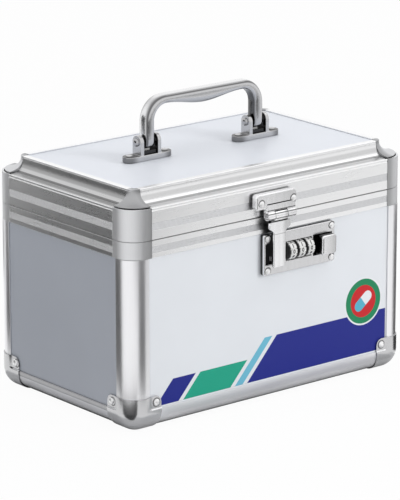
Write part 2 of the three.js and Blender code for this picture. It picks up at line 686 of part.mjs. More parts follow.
// The cove turns the corner about the inner end of the corner piece's legs.
addCornerPieces(lidGroup, 'cove_corner', 'casting', () => {
  const foot = LID_BAND_TOP + COVE_CORNER_GAP;
  const points = [
    [COVE_CORNER_INSET, foot],
    ...covePoints(COVE_CORNER_INSET, foot + COVE_CORNER_RIM, LIP_INSET, LIP_FOOT),
    ...flangePoints(),
    ...covePoints(LEDGE_DEPTH, foot, LIP_INSET + TOP_FLANGE, FLANGE_FOOT).reverse(),
    [COVE_CORNER_INSET, foot],
  ];
  const profile = points.map(([u, z]) => new THREE.Vector2(BAND_LEG - u, z));
  const geometry = new THREE.LatheGeometry(profile, COVE_CORNER_SEGMENTS);
  geometry.rotateX(Math.PI / 2);
  geometry.translate(BAND_LEG, BAND_LEG, 0);
  const quarter = boxBetween(0, BAND_LEG, 0, BAND_LEG, LID_BOTTOM, TOP_HEIGHT + OVERRUN);
  return solid(geometry).intersect(quarter);
});

// Lid: top panel

function topPanel() {
  const x = LENGTH / 2 - TOP_PANEL_EDGE;
  const y = DEPTH / 2 - TOP_PANEL_EDGE;
  const shape = roundedRectangle(-x, x, -y, y, BAND_LEG - TOP_PANEL_EDGE);
  return prismZ(shape, TOP_PANEL_BOTTOM, TOP_PANEL_TOP, 6);
}

lidGroup.add(piece('top_panel', topPanel(), 'topPanel'));

// Rear hinges

const HINGE_HALF = HINGE_WIDTH / 2;
const HINGE_KNUCKLE_HALF = HINGE_KNUCKLE_WIDTH / 2;

function hingeBarrel(x0, x1) {
  return cylinderX(HINGE_RADIUS, x0, x1, HINGE_AXIS, SEAM_HEIGHT);
}

function hingeBore() {
  return cylinderX(HINGE_BORE, -HINGE_HALF - OVERRUN, HINGE_HALF + OVERRUN, HINGE_AXIS, SEAM_HEIGHT, SMALL_SEGMENTS);
}

function hingeRivets(height) {
  const rivets = [-1, 1].map((side) => {
    const geometry = dome(HINGE_RIVET_RADIUS, HINGE_RIVET_RISE, HINGE_LEAF / 2);
    geometry.translate(side * (HINGE_HALF - HINGE_RIVET_INSET), SEAT_GAP + HINGE_LEAF, height);
    return solid(geometry);
  });
  return rivets[0].add(rivets[1]);
}

function lowerLeaf() {
  const foot = SEAM_HEIGHT - HINGE_LOWER_REACH;
  const plate = boxBetween(-HINGE_HALF, HINGE_HALF, SEAT_GAP, SEAT_GAP + HINGE_LEAF, foot, SEAM_HEIGHT);
  const notch = boxBetween(
    -HINGE_KNUCKLE_HALF - RUNNING_GAP, HINGE_KNUCKLE_HALF + RUNNING_GAP, -OVERRUN, HINGE_PROUD + OVERRUN,
    SEAM_HEIGHT - HINGE_RADIUS - RUNNING_GAP, SEAM_HEIGHT + HINGE_RADIUS + OVERRUN);
  return plate.add(hingeBarrel(-HINGE_HALF, HINGE_HALF)).subtract(notch).subtract(hingeBore())
    .add(hingeRivets(foot + HINGE_RIVET_INSET));
}

function upperLeaf() {
  const head = SEAM_HEIGHT + HINGE_UPPER_REACH;
  const clear = SEAM_HEIGHT + HINGE_RADIUS + RUNNING_GAP;
  const plate = boxBetween(-HINGE_HALF, HINGE_HALF, SEAT_GAP, SEAT_GAP + HINGE_LEAF, clear, head);
  const tab = boxBetween(
    -HINGE_KNUCKLE_HALF, HINGE_KNUCKLE_HALF, SEAT_GAP, SEAT_GAP + HINGE_LEAF, SEAM_HEIGHT, clear + HINGE_LEAF);
  return plate.add(tab).add(hingeBarrel(-HINGE_KNUCKLE_HALF, HINGE_KNUCKLE_HALF)).subtract(hingeBore())
    .add(hingeRivets(head - HINGE_RIVET_INSET));
}

[-1, 1].forEach((side) => {
  const label = side < 0 ? 'left' : 'right';
  const lower = piece(`lower_hinge_leaf_${label}`, lowerLeaf(), 'steel');
  const upper = piece(`upper_hinge_leaf_${label}`, upperLeaf(), 'steel');
  const pinBody = cylinderX(HINGE_PIN_RADIUS, -HINGE_HALF, HINGE_HALF, HINGE_AXIS, SEAM_HEIGHT, SMALL_SEGMENTS);
  const pin = piece(`hinge_pin_${label}`, pinBody, 'steel');
  for (const mesh of [lower, upper, pin]) {
    mesh.position.set(side * HINGE_OFFSET, BACK_FACE, 0);
  }
  caseGroup.add(lower, pin);
  lidGroup.add(upper);
});

// Handle brackets and pins

const BRACKET_FOOT = TOP_PANEL_TOP + SEAT_GAP;
const BRACKET_TOP = BRACKET_FOOT + BRACKET_BASE;

function handleBracket() {
  const halfLength = BRACKET_LENGTH / 2;
  const halfDepth = BRACKET_DEPTH / 2;
  const base = prismZ(
    roundedRectangle(-halfLength, halfLength, -halfDepth, halfDepth, halfDepth - EDGE_BEVEL),
    BRACKET_FOOT, BRACKET_TOP, 6);
  const earShape = new THREE.Shape();
  earShape.moveTo(-BRACKET_EAR_RADIUS, BRACKET_FOOT + BRACKET_BASE / 2);
  earShape.lineTo(BRACKET_EAR_RADIUS, BRACKET_FOOT + BRACKET_BASE / 2);
  earShape.lineTo(BRACKET_EAR_RADIUS, HANDLE_PIVOT_HEIGHT);
  earShape.absarc(0, HANDLE_PIVOT_HEIGHT, BRACKET_EAR_RADIUS, 0, Math.PI);
  const inner = BRACKET_GAP / 2;
  const outer = inner + BRACKET_EAR;
  const bore = cylinderX(HANDLE_PIN_BORE, -outer - OVERRUN, outer + OVERRUN, 0, HANDLE_PIVOT_HEIGHT, SMALL_SEGMENTS);
  let body = base.add(prismX(earShape, -outer, -inner, 12)).add(prismX(earShape, inner, outer, 12)).subtract(bore);
  for (const side of [-1, 1]) {
    const screw = dome(BRACKET_SCREW_RADIUS, BRACKET_SCREW_RISE, BRACKET_BASE / 2);
    screw.rotateX(Math.PI / 2);
    screw.translate(side * (halfLength - BRACKET_SCREW_INSET), 0, BRACKET_TOP);
    body = body.add(solid(screw));
  }
  return body;
}

function handlePin() {
  const outer = BRACKET_GAP / 2 + BRACKET_EAR;
  let body = cylinderX(
    HANDLE_PIN_RADIUS, -outer - SEAT_GAP, outer + SEAT_GAP, 0, HANDLE_PIVOT_HEIGHT, SMALL_SEGMENTS);
  for (const side of [-1, 1]) {
    const head = dome(HANDLE_PIN_HEAD, HANDLE_PIN_HEAD_RISE, 0);
    head.rotateZ(-side * Math.PI / 2);
    head.translate(side * (outer + SEAT_GAP), 0, HANDLE_PIVOT_HEIGHT);
    body = body.add(solid(head));
  }
  return body;
}

[-1, 1].forEach((side) => {
  const label = side < 0 ? 'left' : 'right';
  const bracket = piece(`handle_bracket_${label}`, handleBracket(), 'nickel');
  const pin = piece(`handle_pin_${label}`, handlePin(), 'chrome');
  for (const mesh of [bracket, pin]) {
    mesh.position.x = side * HANDLE_HALF_SPAN;
  }
  lidGroup.add(bracket, pin);
});

// Handle: rings along the left leg, the bend and the bar, mirrored to the right

function handleStations() {
  const barHeight = HANDLE_TOP - HANDLE_BAR_HEIGHT / 2;
  const endRadius = HANDLE_DEPTH / 2;
  const bendFoot = barHeight - HANDLE_BEND;
  const straight = HANDLE_HALF_SPAN - HANDLE_BEND;
  const stations = [];
  for (let i = 0; i < HANDLE_END_STEPS; i += 1) {
    const angle = (Math.PI / 2) * (1 - i / HANDLE_END_STEPS) * (1 - 1 / (4 * HANDLE_END_STEPS));
    stations.push({
      x: -HANDLE_HALF_SPAN,
      z: HANDLE_PIVOT_HEIGHT - endRadius * Math.sin(angle),
      turn: 0,
      width: HANDLE_LEG_WIDTH,
      depth: HANDLE_DEPTH * Math.cos(angle),
      belly: 0,
    });
  }
  for (let i = 0; i <= HANDLE_LEG_STEPS; i += 1) {
    const z = HANDLE_PIVOT_HEIGHT + (bendFoot - HANDLE_PIVOT_HEIGHT) * (i / HANDLE_LEG_STEPS);
    stations.push({ x: -HANDLE_HALF_SPAN, z, turn: 0, width: HANDLE_LEG_WIDTH, depth: HANDLE_DEPTH, belly: 0 });
  }
  for (let i = 1; i <= HANDLE_BEND_STEPS; i += 1) {
    const share = i / HANDLE_BEND_STEPS;
    const turn = share * Math.PI / 2;
    stations.push({
      x: -straight - HANDLE_BEND * Math.cos(turn),
      z: bendFoot + HANDLE_BEND * Math.sin(turn),
      turn,
      width: HANDLE_LEG_WIDTH + (HANDLE_BAR_HEIGHT - HANDLE_LEG_WIDTH) * share,
      depth: HANDLE_DEPTH,
      belly: 0,
    });
  }
  for (let i = 1; i <= HANDLE_BAR_STEPS / 2; i += 1) {
    const share = (2 * i) / HANDLE_BAR_STEPS;
    stations.push({
      x: -straight * (1 - share),
      z: barHeight,
      turn: Math.PI / 2,
      width: HANDLE_BAR_HEIGHT,
      depth: HANDLE_DEPTH,
      belly: HANDLE_BELLY * (1 - Math.cos(Math.PI * share)) / 2,
    });
  }
  const mirrored = stations.slice(0, -1).reverse().map((s) => ({ ...s, x: -s.x, turn: Math.PI - s.turn }));
  return [...stations, ...mirrored];
}

// One ring of the handle: a squarish oval, fuller on the inner side by the belly.
function handleRing(station) {
  const ring = [];
  for (let i = 0; i < HANDLE_SIDES; i += 1) {
    const angle = (i / HANDLE_SIDES) * 2 * Math.PI;
    const power = 2 / HANDLE_ROUNDNESS;
    const across = Math.sign(Math.cos(angle)) * Math.abs(Math.cos(angle)) ** power;
    const along = Math.sign(Math.sin(angle)) * Math.abs(Math.sin(angle)) ** power;
    const inwards = across * (station.width / 2 + (across > 0 ? station.belly : 0));
    ring.push([
      station.x + inwards * Math.cos(station.turn),
      along * station.depth / 2,
      station.z - inwards * Math.sin(station.turn),
    ]);
  }
  return ring;
}

function handleBody() {
  const rings = handleStations().map(handleRing);
  const positions = rings.flat(2);
  const last = rings.length - 1;
  const index = [];
  for (let r = 0; r < last; r += 1) {
    for (let i = 0; i < HANDLE_SIDES; i += 1) {
      const next = (i + 1) % HANDLE_SIDES;
      const a = r * HANDLE_SIDES + i;
      const b = r * HANDLE_SIDES + next;
      index.push(a, b, b + HANDLE_SIDES, a, b + HANDLE_SIDES, a + HANDLE_SIDES);
    }
  }
  for (let i = 1; i < HANDLE_SIDES - 1; i += 1) {
    index.push(0, i + 1, i);
    index.push(last * HANDLE_SIDES, last * HANDLE_SIDES + i, last * HANDLE_SIDES + i + 1);
  }
  const geometry = new THREE.BufferGeometry();
  geometry.setAttribute('position', new THREE.BufferAttribute(new Float32Array(positions), 3));
  geometry.setIndex(index);
  const reach = HANDLE_HALF_SPAN + HANDLE_LEG_WIDTH;
  const bore = cylinderX(HANDLE_PIN_BORE, -reach, reach, 0, HANDLE_PIVOT_HEIGHT, SMALL_SEGMENTS);
  return solid(geometry).subtract(bore);
}

lidGroup.add(piece('handle', handleBody(), 'nickel'));

// Lock: pieces are drawn with y = 0 on the rim's front face, proud towards -Y

const lockGroup = new THREE.Group();
const haspGroup = new THREE.Group();
lockGroup.position.y = FRONT_FACE;
haspGroup.position.y = FRONT_FACE;
caseGroup.add(lockGroup);
lidGroup.add(haspGroup);

// A block between two proud distances.
function proudBox(x0, x1, proud0, proud1, z0, z1) {
  return boxBetween(x0, x1, -proud1, -proud0, z0, z1);
}

function lockPlate() {
  const shape = roundedRectangle(LOCK_LEFT, LOCK_RIGHT, LOCK_BOTTOM, LOCK_TOP, LOCK_ROUND);
  const through = [LOCK_BACK - OVERRUN, LOCK_PROUD + OVERRUN];
  const pocket = [LOCK_BACK - OVERRUN, LOCK_POCKET];
  const boltFoot = BOLT_BOTTOM - SEAT_GAP;
  const boltReach = BOLT_LEFT - BUTTON_TRAVEL - SEAT_GAP;
  const shaftTop = DIAL_HEIGHT + DIAL_SHAFT_RADIUS + SEAT_GAP;
  const shaftFoot = DIAL_HEIGHT - DIAL_SHAFT_RADIUS - SEAT_GAP;
  const shaftProud = DIAL_PROUD + DIAL_SHAFT_RADIUS + SEAT_GAP;
  const cuts = [
    proudBox(SLOT_LEFT, SLOT_RIGHT, ...through, SLOT_FLOOR, SLOT_SHOULDER),
    proudBox(SLOT_NECK_LEFT, SLOT_RIGHT, ...through, SLOT_FLOOR, SLOT_CEILING),
    proudBox(STAPLE_LEFT - CHANNEL_SIDE, STAPLE_RIGHT + CHANNEL_SIDE, ...through, SLOT_FLOOR, LOCK_TOP + OVERRUN),
    proudBox(DIAL_WINDOW_LEFT, DIAL_WINDOW_RIGHT, ...through,
      DIAL_HEIGHT - DIAL_RADIUS - DIAL_WINDOW_SIDE, DIAL_HEIGHT + DIAL_RADIUS + DIAL_WINDOW_SIDE),
    proudBox(BUTTON_WINDOW_LEFT, BUTTON_WINDOW_RIGHT, ...through,
      BUTTON_BOTTOM - BUTTON_WINDOW_SIDE, BUTTON_BOTTOM + BUTTON_HEIGHT + BUTTON_WINDOW_SIDE),
    proudBox(boltReach, BUTTON_WINDOW_RIGHT, ...pocket, boltFoot, BOLT_BOTTOM + BOLT_BAR + SEAT_GAP),
    proudBox(boltReach, DIAL_WINDOW_LEFT + OVERRUN, ...pocket, boltFoot, TONGUE_TOP + SEAT_GAP),
    proudBox(BUTTON_WINDOW_LEFT, BUTTON_WINDOW_RIGHT, ...pocket, boltFoot, BUTTON_BOTTOM),
    proudBox(DIAL_WINDOW_LEFT - DIAL_SHAFT_END - SEAT_GAP, DIAL_WINDOW_RIGHT + DIAL_SHAFT_END + SEAT_GAP,
      LOCK_BACK - OVERRUN, shaftProud, shaftFoot, shaftTop),
  ];
  let body = prismY(shape, -LOCK_PROUD, -LOCK_BACK);
  for (const cut of cuts) {
    body = body.subtract(cut);
  }
  for (const x of [LOCK_LEFT + LOCK_RIVET_INSET, LOCK_RIGHT - LOCK_RIVET_INSET]) {
    for (const z of [LOCK_BOTTOM + LOCK_RIVET_INSET, LOCK_TOP - LOCK_RIVET_INSET]) {
      body = body.add(domeFront(LOCK_RIVET_RADIUS, LOCK_RIVET_RISE, LOCK_SKIN, x, -LOCK_PROUD, z));
    }
  }
  return body;
}

// A shallow tray screwed behind the front panel, over the backs of the dials.
function lockCover() {
  const front = -PANEL_INSET - PANEL_THICKNESS - SEAT_GAP;
  const back = front - LOCK_COVER_DEPTH;
  const foot = LOCK_BOTTOM + LOCK_COVER_MARGIN;
  const head = LOCK_TOP - LOCK_COVER_MARGIN;
  const left = LOCK_LEFT + LOCK_COVER_MARGIN;
  const right = LOCK_RIGHT - LOCK_COVER_MARGIN;
  const block = proudBox(left, right, back, front, foot, head);
  const hollow = proudBox(
    left + LOCK_COVER_WALL, right - LOCK_COVER_WALL, back + LOCK_COVER_WALL, front + OVERRUN,
    foot + LOCK_COVER_WALL, head - LOCK_COVER_WALL);
  return block.subtract(hollow);
}

function dialBody() {
  const shape = new THREE.Shape();
  const step = (2 * Math.PI) / DIAL_NUMBERS;
  for (let i = 0; i < DIAL_NUMBERS; i += 1) {
    const start = i * step - (step * DIAL_FLAT_SHARE) / 2;
    const end = start + step * DIAL_FLAT_SHARE;
    const notch = (i + 0.5) * step;
    const corners = [[start, DIAL_RADIUS], [end, DIAL_RADIUS], [notch, DIAL_RADIUS - DIAL_NOTCH]];
    corners.forEach(([angle, radius], k) => {
      const x = radius * Math.cos(angle);
      const y = radius * Math.sin(angle);
      if (i === 0 && k === 0) {
        shape.moveTo(x, y);
      } else {
        shape.lineTo(x, y);
      }
    });
  }
  const bore = cylinderX(DIAL_BORE, -OVERRUN, DIAL_WIDTH + OVERRUN, 0, 0);
  return prismX(shape, 0, DIAL_WIDTH).subtract(bore);
}

lockGroup.add(piece('lock_plate', lockPlate(), 'chrome'));
lockGroup.add(piece('lock_cover', lockCover(), 'steel'));
lockGroup.add(piece('dial_shaft', cylinderX(
  DIAL_SHAFT_RADIUS, DIAL_WINDOW_LEFT - DIAL_SHAFT_END, DIAL_WINDOW_RIGHT + DIAL_SHAFT_END,
  -DIAL_PROUD, DIAL_HEIGHT), 'steel'));
for (let i = 0; i < DIAL_COUNT; i += 1) {
  const dial = piece(`dial_${i + 1}`, dialBody(), 'dial');
  dial.position.set(DIAL_START + i * DIAL_PITCH, -DIAL_PROUD, DIAL_HEIGHT);
  lockGroup.add(dial);
}

// The button and its bolt are one casting: a bar under the dials, an upright and a tongue.
function slideBolt() {
  const back = LOCK_BACK + SEAT_GAP;
  const front = LOCK_POCKET - SEAT_GAP;
  const shape = roundedRectangle(
    BUTTON_LEFT, BUTTON_RIGHT, BUTTON_BOTTOM, BUTTON_BOTTOM + BUTTON_HEIGHT, BUTTON_ROUND);
  const uprightRight = BOLT_LEFT + BOLT_UPRIGHT;
  return prismY(shape, -BUTTON_PROUD, -back)
    .add(proudBox(BOLT_LEFT, BUTTON_RIGHT, back, front, BOLT_BOTTOM, BOLT_BOTTOM + BOLT_BAR))
    .add(proudBox(BUTTON_LEFT, BUTTON_RIGHT, back, front, BOLT_BOTTOM, BUTTON_BOTTOM + BUTTON_ROUND))
    .add(proudBox(BOLT_LEFT, uprightRight, back, front, BOLT_BOTTOM, TONGUE_TOP))
    .add(proudBox(BOLT_LEFT - TONGUE_REACH, uprightRight,
      front - BOLT_TONGUE_THICKNESS, front, TONGUE_BOTTOM, TONGUE_TOP));
}

lockGroup.add(piece('slide_bolt', slideBolt(), 'chrome'));

// Hasp plate, pin and arm

const HASP_RIGHT = HASP_LEFT + HASP_LENGTH;
const HASP_BARREL_RIGHT = HASP_BARREL_LEFT + HASP_BARREL_LENGTH;
const HASP_KNUCKLE_LEFT = HASP_BARREL_LEFT + HASP_KNUCKLE_START;
const HASP_KNUCKLE_RIGHT = HASP_KNUCKLE_LEFT + HASP_KNUCKLE_LENGTH;

function haspCylinder(radius, x0, x1, segments) {
  return cylinderX(radius, x0, x1, -HASP_AXIS_PROUD, HASP_AXIS_HEIGHT, segments);
}

function haspPlate() {
  const shape = roundedRectangle(HASP_LEFT, HASP_RIGHT, HASP_BOTTOM, HASP_BOTTOM + HASP_HEIGHT, HASP_ROUND);
  const barrelBack = HASP_AXIS_PROUD - HASP_BARREL_RADIUS;
  const notch = proudBox(
    HASP_KNUCKLE_LEFT - RUNNING_GAP, HASP_KNUCKLE_RIGHT + RUNNING_GAP, 0, BUTTON_PROUD + OVERRUN,
    HASP_AXIS_HEIGHT - HASP_BARREL_RADIUS - OVERRUN, HASP_AXIS_HEIGHT + HASP_BARREL_RADIUS + RUNNING_GAP);
  const rivetHeight = HASP_BOTTOM + HASP_RIVET_HEIGHT;
  let body = prismY(shape, -HASP_PROUD, -SEAT_GAP)
    .add(proudBox(HASP_BARREL_LEFT, HASP_BARREL_RIGHT, barrelBack, ARM_FRONT_PROUD, HASP_AXIS_HEIGHT, HASP_NECK_TOP))
    .add(haspCylinder(HASP_BARREL_RADIUS, HASP_BARREL_LEFT, HASP_BARREL_RIGHT))
    .subtract(notch)
    .subtract(haspCylinder(HASP_BORE, HASP_BARREL_LEFT - OVERRUN, HASP_BARREL_RIGHT + OVERRUN, SMALL_SEGMENTS));
  for (const x of [HASP_LEFT + HASP_RIVET_LEFT_INSET, HASP_RIGHT - HASP_RIVET_RIGHT_INSET]) {
    body = body.add(domeFront(HASP_RIVET_RADIUS, HASP_RIVET_RISE, HASP_RIVET_RISE, x, -HASP_PROUD, rivetHeight));
  }
  return body;
}

function haspArm() {
  const half = ARM_WIDTH / 2;
  const headHalf = ARM_HEAD_WIDTH / 2;
  const stripHalf = ARM_STRIP_WIDTH / 2;
  const stripTop = HASP_AXIS_HEIGHT - HASP_BARREL_RADIUS - RUNNING_GAP;
  const leaf = outline([
    [ARM_CENTRE - half + ARM_ROUND, ARM_BOTTOM],
    [ARM_CENTRE + half - ARM_ROUND, ARM_BOTTOM],
    [ARM_CENTRE + half, ARM_BOTTOM + ARM_ROUND],
    [ARM_CENTRE + half, ARM_NECK_HEIGHT],
    [ARM_CENTRE + headHalf, ARM_HEAD_HEIGHT],
    [ARM_CENTRE + headHalf, ARM_HEAD_TOP],
    [ARM_CENTRE + stripHalf, ARM_HEAD_TOP],
    [ARM_CENTRE + stripHalf, stripTop],
    [ARM_CENTRE - stripHalf, stripTop],
    [ARM_CENTRE - stripHalf, ARM_HEAD_TOP],
    [ARM_CENTRE - headHalf, ARM_HEAD_TOP],
    [ARM_CENTRE - headHalf, ARM_HEAD_HEIGHT],
    [ARM_CENTRE - half, ARM_NECK_HEIGHT],
    [ARM_CENTRE - half, ARM_BOTTOM + ARM_ROUND],
  ]);
  const back = ARM_FRONT_PROUD - ARM_THICKNESS;
  const staple = proudBox(
    STAPLE_LEFT, STAPLE_RIGHT, STAPLE_TIP_PROUD, back + ARM_THICKNESS / 2,
    STAPLE_BOTTOM, STAPLE_BOTTOM + STAPLE_HEIGHT);
  const eye = proudBox(
    STAPLE_LEFT - OVERRUN, STAPLE_RIGHT + OVERRUN, STAPLE_EYE_PROUD, STAPLE_EYE_PROUD + STAPLE_EYE_DEPTH,
    STAPLE_EYE_BOTTOM, STAPLE_EYE_BOTTOM + STAPLE_EYE_HEIGHT);
  const tab = proudBox(HASP_KNUCKLE_LEFT, HASP_KNUCKLE_RIGHT, back, ARM_FRONT_PROUD, ARM_HEAD_TOP, HASP_AXIS_HEIGHT);
  return prismY(leaf, -ARM_FRONT_PROUD, -back)
    .add(tab)
    .add(haspCylinder(HASP_BARREL_RADIUS, HASP_KNUCKLE_LEFT, HASP_KNUCKLE_RIGHT))
    .subtract(haspCylinder(HASP_BORE, HASP_KNUCKLE_LEFT - OVERRUN, HASP_KNUCKLE_RIGHT + OVERRUN, SMALL_SEGMENTS))
    .add(staple)
    .subtract(eye);
}

haspGroup.add(piece('hasp_plate', haspPlate(), 'chrome'));
haspGroup.add(piece('hasp_pin', haspCylinder(
  HASP_PIN_RADIUS, HASP_BARREL_LEFT - HASP_PIN_HEAD, HASP_BARREL_RIGHT + HASP_PIN_HEAD, SMALL_SEGMENTS), 'steel'));
haspGroup.add(piece('hasp_arm', haspArm(), 'chrome'));

export default group;
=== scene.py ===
import math

import bpy
import bmesh
import numpy as np
from mathutils import Matrix, Vector


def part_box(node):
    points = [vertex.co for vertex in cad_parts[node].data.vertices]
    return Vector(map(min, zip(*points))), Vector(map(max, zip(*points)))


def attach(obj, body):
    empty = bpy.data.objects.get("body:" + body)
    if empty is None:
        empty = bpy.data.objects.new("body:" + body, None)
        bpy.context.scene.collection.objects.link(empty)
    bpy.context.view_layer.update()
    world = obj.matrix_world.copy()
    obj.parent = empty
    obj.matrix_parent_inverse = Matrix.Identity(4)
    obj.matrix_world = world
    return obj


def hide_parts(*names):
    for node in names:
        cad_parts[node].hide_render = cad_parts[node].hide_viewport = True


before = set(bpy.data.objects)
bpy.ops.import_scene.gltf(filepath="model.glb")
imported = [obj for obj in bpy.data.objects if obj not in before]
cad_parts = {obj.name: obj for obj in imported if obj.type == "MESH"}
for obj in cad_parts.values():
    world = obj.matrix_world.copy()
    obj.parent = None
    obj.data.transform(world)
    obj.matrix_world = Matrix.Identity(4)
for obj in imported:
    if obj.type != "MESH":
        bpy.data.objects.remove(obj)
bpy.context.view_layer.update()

MM = 0.001

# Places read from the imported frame, in millimetres

def corners_mm(node):
    """The lowest and highest corners of a CAD node, in millimetres."""
    low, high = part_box(node)
    return np.array(low) / MM, np.array(high) / MM


RIM_LOW, RIM_TOP_CORNER = corners_mm("rim_corner_front_left")
RIM_HIGH = corners_mm("rim_corner_back_right")[1]
LID_LOW, LID_BAND_HIGH = corners_mm("lid_corner_front_left")
LID_RAIL_HIGH = corners_mm("front_lid_rail")[1]
POST_LOW, POST_HIGH = corners_mm("corner_post_front_left")
SEAM = (RIM_TOP_CORNER[2] + LID_LOW[2]) / 2
BAND_TOP = LID_BAND_HIGH[2]
TOP_HIGH = LID_RAIL_HIGH[2]
CASE_LEFT, CASE_FRONT = RIM_LOW[0], RIM_LOW[1]
CASE_RIGHT, CASE_BACK = RIM_HIGH[0], RIM_HIGH[1]
CASE_MIDDLE = np.array([(CASE_LEFT + CASE_RIGHT) / 2, (CASE_FRONT + CASE_BACK) / 2])
CASE_SIZE = np.array([CASE_RIGHT - CASE_LEFT, CASE_BACK - CASE_FRONT])

# Sizes of the frame, the rim and the lid, in millimetres, as the frame's solids have them

GAP = 0.2
EDGE = 0.3
FRAME_INSET = 0.6
FRAME_RADIUS = 13.5
FRAME_SKIN = 0.7
FRAME_LEG = 16.7
FRAME_INNER = 5.9
RAIL_LEG = 15.5
RAIL_DROP = 0.2
SLOT_START = 14.4
SLOT_INNER = 4.7
BAND_LEG = 18.7
BAND_RADIUS = 16.0
BAND_WALL = 1.5
RIM_SLOT_HEIGHT = 7.5
RIM_STRIPE = (3.3, 8.1)
LID_STRIPE = (6.5, 11.8)
RIB_COUNT = 7
RIB_DEPTH = 0.3
RIB_STEPS = 16
BEAD_HEIGHT = 1.8
BEAD_GROOVE = 0.45
LEDGE_DEPTH = 4.9
LEDGE_RISE = 0.4
LIP_INSET = 12.3
LIP_HEIGHT = 1.1
LIP_GROOVE = 0.4
LIP_GROOVE_SHARES = (0.4, 0.55, 0.9)
TOP_FLANGE = 4.4
TOP_SKIN = 0.7
TOP_PANEL = 2.8
TOP_SLOT = 14.2
PANEL_INSET = 1.5
BOARD_MIDDLE = 1.5
BOTTOM_BOARD_MIDDLE = 1.7
COVE_CORNER_GAP = 0.6
COVE_CORNER_RIM = 0.8
COVE_CORNER_INSET = 0.9
RAIL_BEVEL = 0.12
CORNER_BEVEL = 0.15
ARC_STEPS = 24
COVE_STEPS = 16
LIP_FOOT = TOP_HIGH - TOP_SKIN - LIP_HEIGHT
PANEL_TOP = TOP_HIGH - TOP_SKIN - GAP
PANEL_FOOT = PANEL_TOP - TOP_PANEL
FLANGE_FOOT = PANEL_FOOT - GAP - TOP_SKIN
FLANGE_INNER = LIP_INSET + TOP_FLANGE

# Sizes of the corner caps

CAP_FACE = -0.2
CAP_RADIUS = 14.3
CAP_SHEET = 0.55
CAP_LEG = 26.5
CAP_FOOT_LEG = 24.6
CAP_TOP = 25.0
CAP_EAR_ROUND = 5.0
CAP_CORNER_DROP = 0.5
CAP_DROP_SHARE = 0.15
CAP_STEP = 0.55
CAP_STEP_HEIGHT, CAP_STEP_LEAD, CAP_STEP_SPREAD = 15.9, 0.5, 0.8
CAP_STEP_START, CAP_STEP_RUN = 16.6, 1.2
CAP_BEVEL = 0.12
CAP_RIVET_INSET = 4.3
CAP_RIVET_RADIUS, CAP_RIVET_RISE = 2.5, 1.3

# Sizes of the lock: depths are in front of the rim's face, and the other places are in X and Z

LOCK_LEFT, LOCK_RIGHT, LOCK_FOOT, LOCK_HEAD = -10.2, 54.2, 92.9, 121.8
LOCK_BACK, LOCK_FACE, LOCK_EDGE = -1.3, 2.8, 0.4
LOCK_CORNER, LOCK_CORNER_STEPS = 1.4, 6
LOCK_RIVET_INSET, LOCK_RIVET_RISE = 3.0, 1.3
LOCK_RIVETS = [(x, z) for x in (LOCK_LEFT + LOCK_RIVET_INSET, LOCK_RIGHT - LOCK_RIVET_INSET)
               for z in (LOCK_FOOT + LOCK_RIVET_INSET, LOCK_HEAD - LOCK_RIVET_INSET)]
PLATE_RIVET_RADIUS = 2.3
CHANNEL_LEFT, CHANNEL_RIGHT = -3.7, 4.1
OPENING_LEFT, OPENING_RIGHT, OPENING_FOOT, OPENING_TOP = -8.8, 7.6, 100.3, 120.4
OPENING_SHOULDER, OPENING_SHOULDER_HEIGHT = -5.2, 115.2
DIAL_WINDOW = (9.65, 33.35, 100.25, 114.15)
BUTTON_WINDOW = (34.6, 51.85, 99.65, 114.35)
# The dark sheet behind the lock's plate: painted shade in its openings
SHADE_SHEET_INSET, SHADE_SHEET_BACK, SHADE_SHEET_FACE, SHADE_SHEET_EDGE = 0.6, -1.46, -1.34, 0.03
DIAL_AXIS_PROUD, DIAL_AXIS_HEIGHT = 0.9, 107.2
DIAL_RADIUS, DIAL_NOTCH, DIAL_WIDTH, DIAL_BORE = 6.5, 0.7, 6.7, 1.2
DIAL_RIM, DIAL_RIM_FACET = 0.55, 0.18
DIAL_STARTS = (10.1, 18.15, 26.2)
DIAL_NUMBERS = 10
DIAL_STEP = 2 * math.pi / DIAL_NUMBERS
DIAL_FLAT_SHARE, DIAL_GROOVE_SHARE = 0.72, 0.08
NUMBER_SIZE, NUMBER_DEPTH, NUMBER_WEIGHT_SHARE = 3.9, 0.03, 0.03
BUTTON_LEFT, BUTTON_RIGHT, BUTTON_FOOT, BUTTON_TOP = 38.6, 51.4, 100.1, 113.9
BUTTON_CORNER, BUTTON_FACE, BUTTON_EDGE = 1.9, 8.5, 1.1
BOLT_BACK, BOLT_FACE, BOLT_EDGE = -1.1, 1.7, 0.15
BOLT_LEFT, BOLT_FOOT, BOLT_TOP, BOLT_NECK_TOP = 7.4, 96.5, 99.3, 101.7
TONGUE_LEFT, TONGUE_RIGHT, TONGUE_FOOT, TONGUE_TOP, TONGUE_BACK = 3.9, 9.3, 102.5, 104.9, 0.2

# Sizes of the hasp, given like the lock's

HASP_AXIS_PROUD, HASP_AXIS_HEIGHT, HASP_RADIUS = 5.5, 136.0, 3.2
HASP_FACE = 7.0
KNUCKLE_LEFT, KNUCKLE_RIGHT, KNUCKLE_GAP = -4.2, 6.6, 0.3
BARREL_LEFT, BARREL_RIGHT, BARREL_EDGE = -10.6, 14.4, 0.3
HASP_PLATE = (-20.2, 15.8, 141.5, 152.3)
HASP_PLATE_BACK, HASP_PLATE_FACE, HASP_PLATE_EDGE, HASP_PLATE_CORNER = 0.2, 6.3, 0.8, 2.4
NECK_FOOT, NECK_TOP, NECK_BACK, NECK_EDGE = 139.5, 144.3, 2.3, 0.35
HASP_RIVETS = ((-15.8, 145.8), (12.8, 145.8))
HASP_RIVET_RISE = 1.4
ARM_CENTRE, ARM_HALF, ARM_HEAD_HALF, ARM_STRIP_HALF = 0.4, 5.35, 9.6, 7.2
ARM_FOOT, ARM_HEAD_TOP, ARM_TOP = 98.7, 131.2, 132.5
ARM_WAIST_FOOT, ARM_WAIST_RISE, ARM_WAIST_POWER = 122.6, 4.9, 1.4
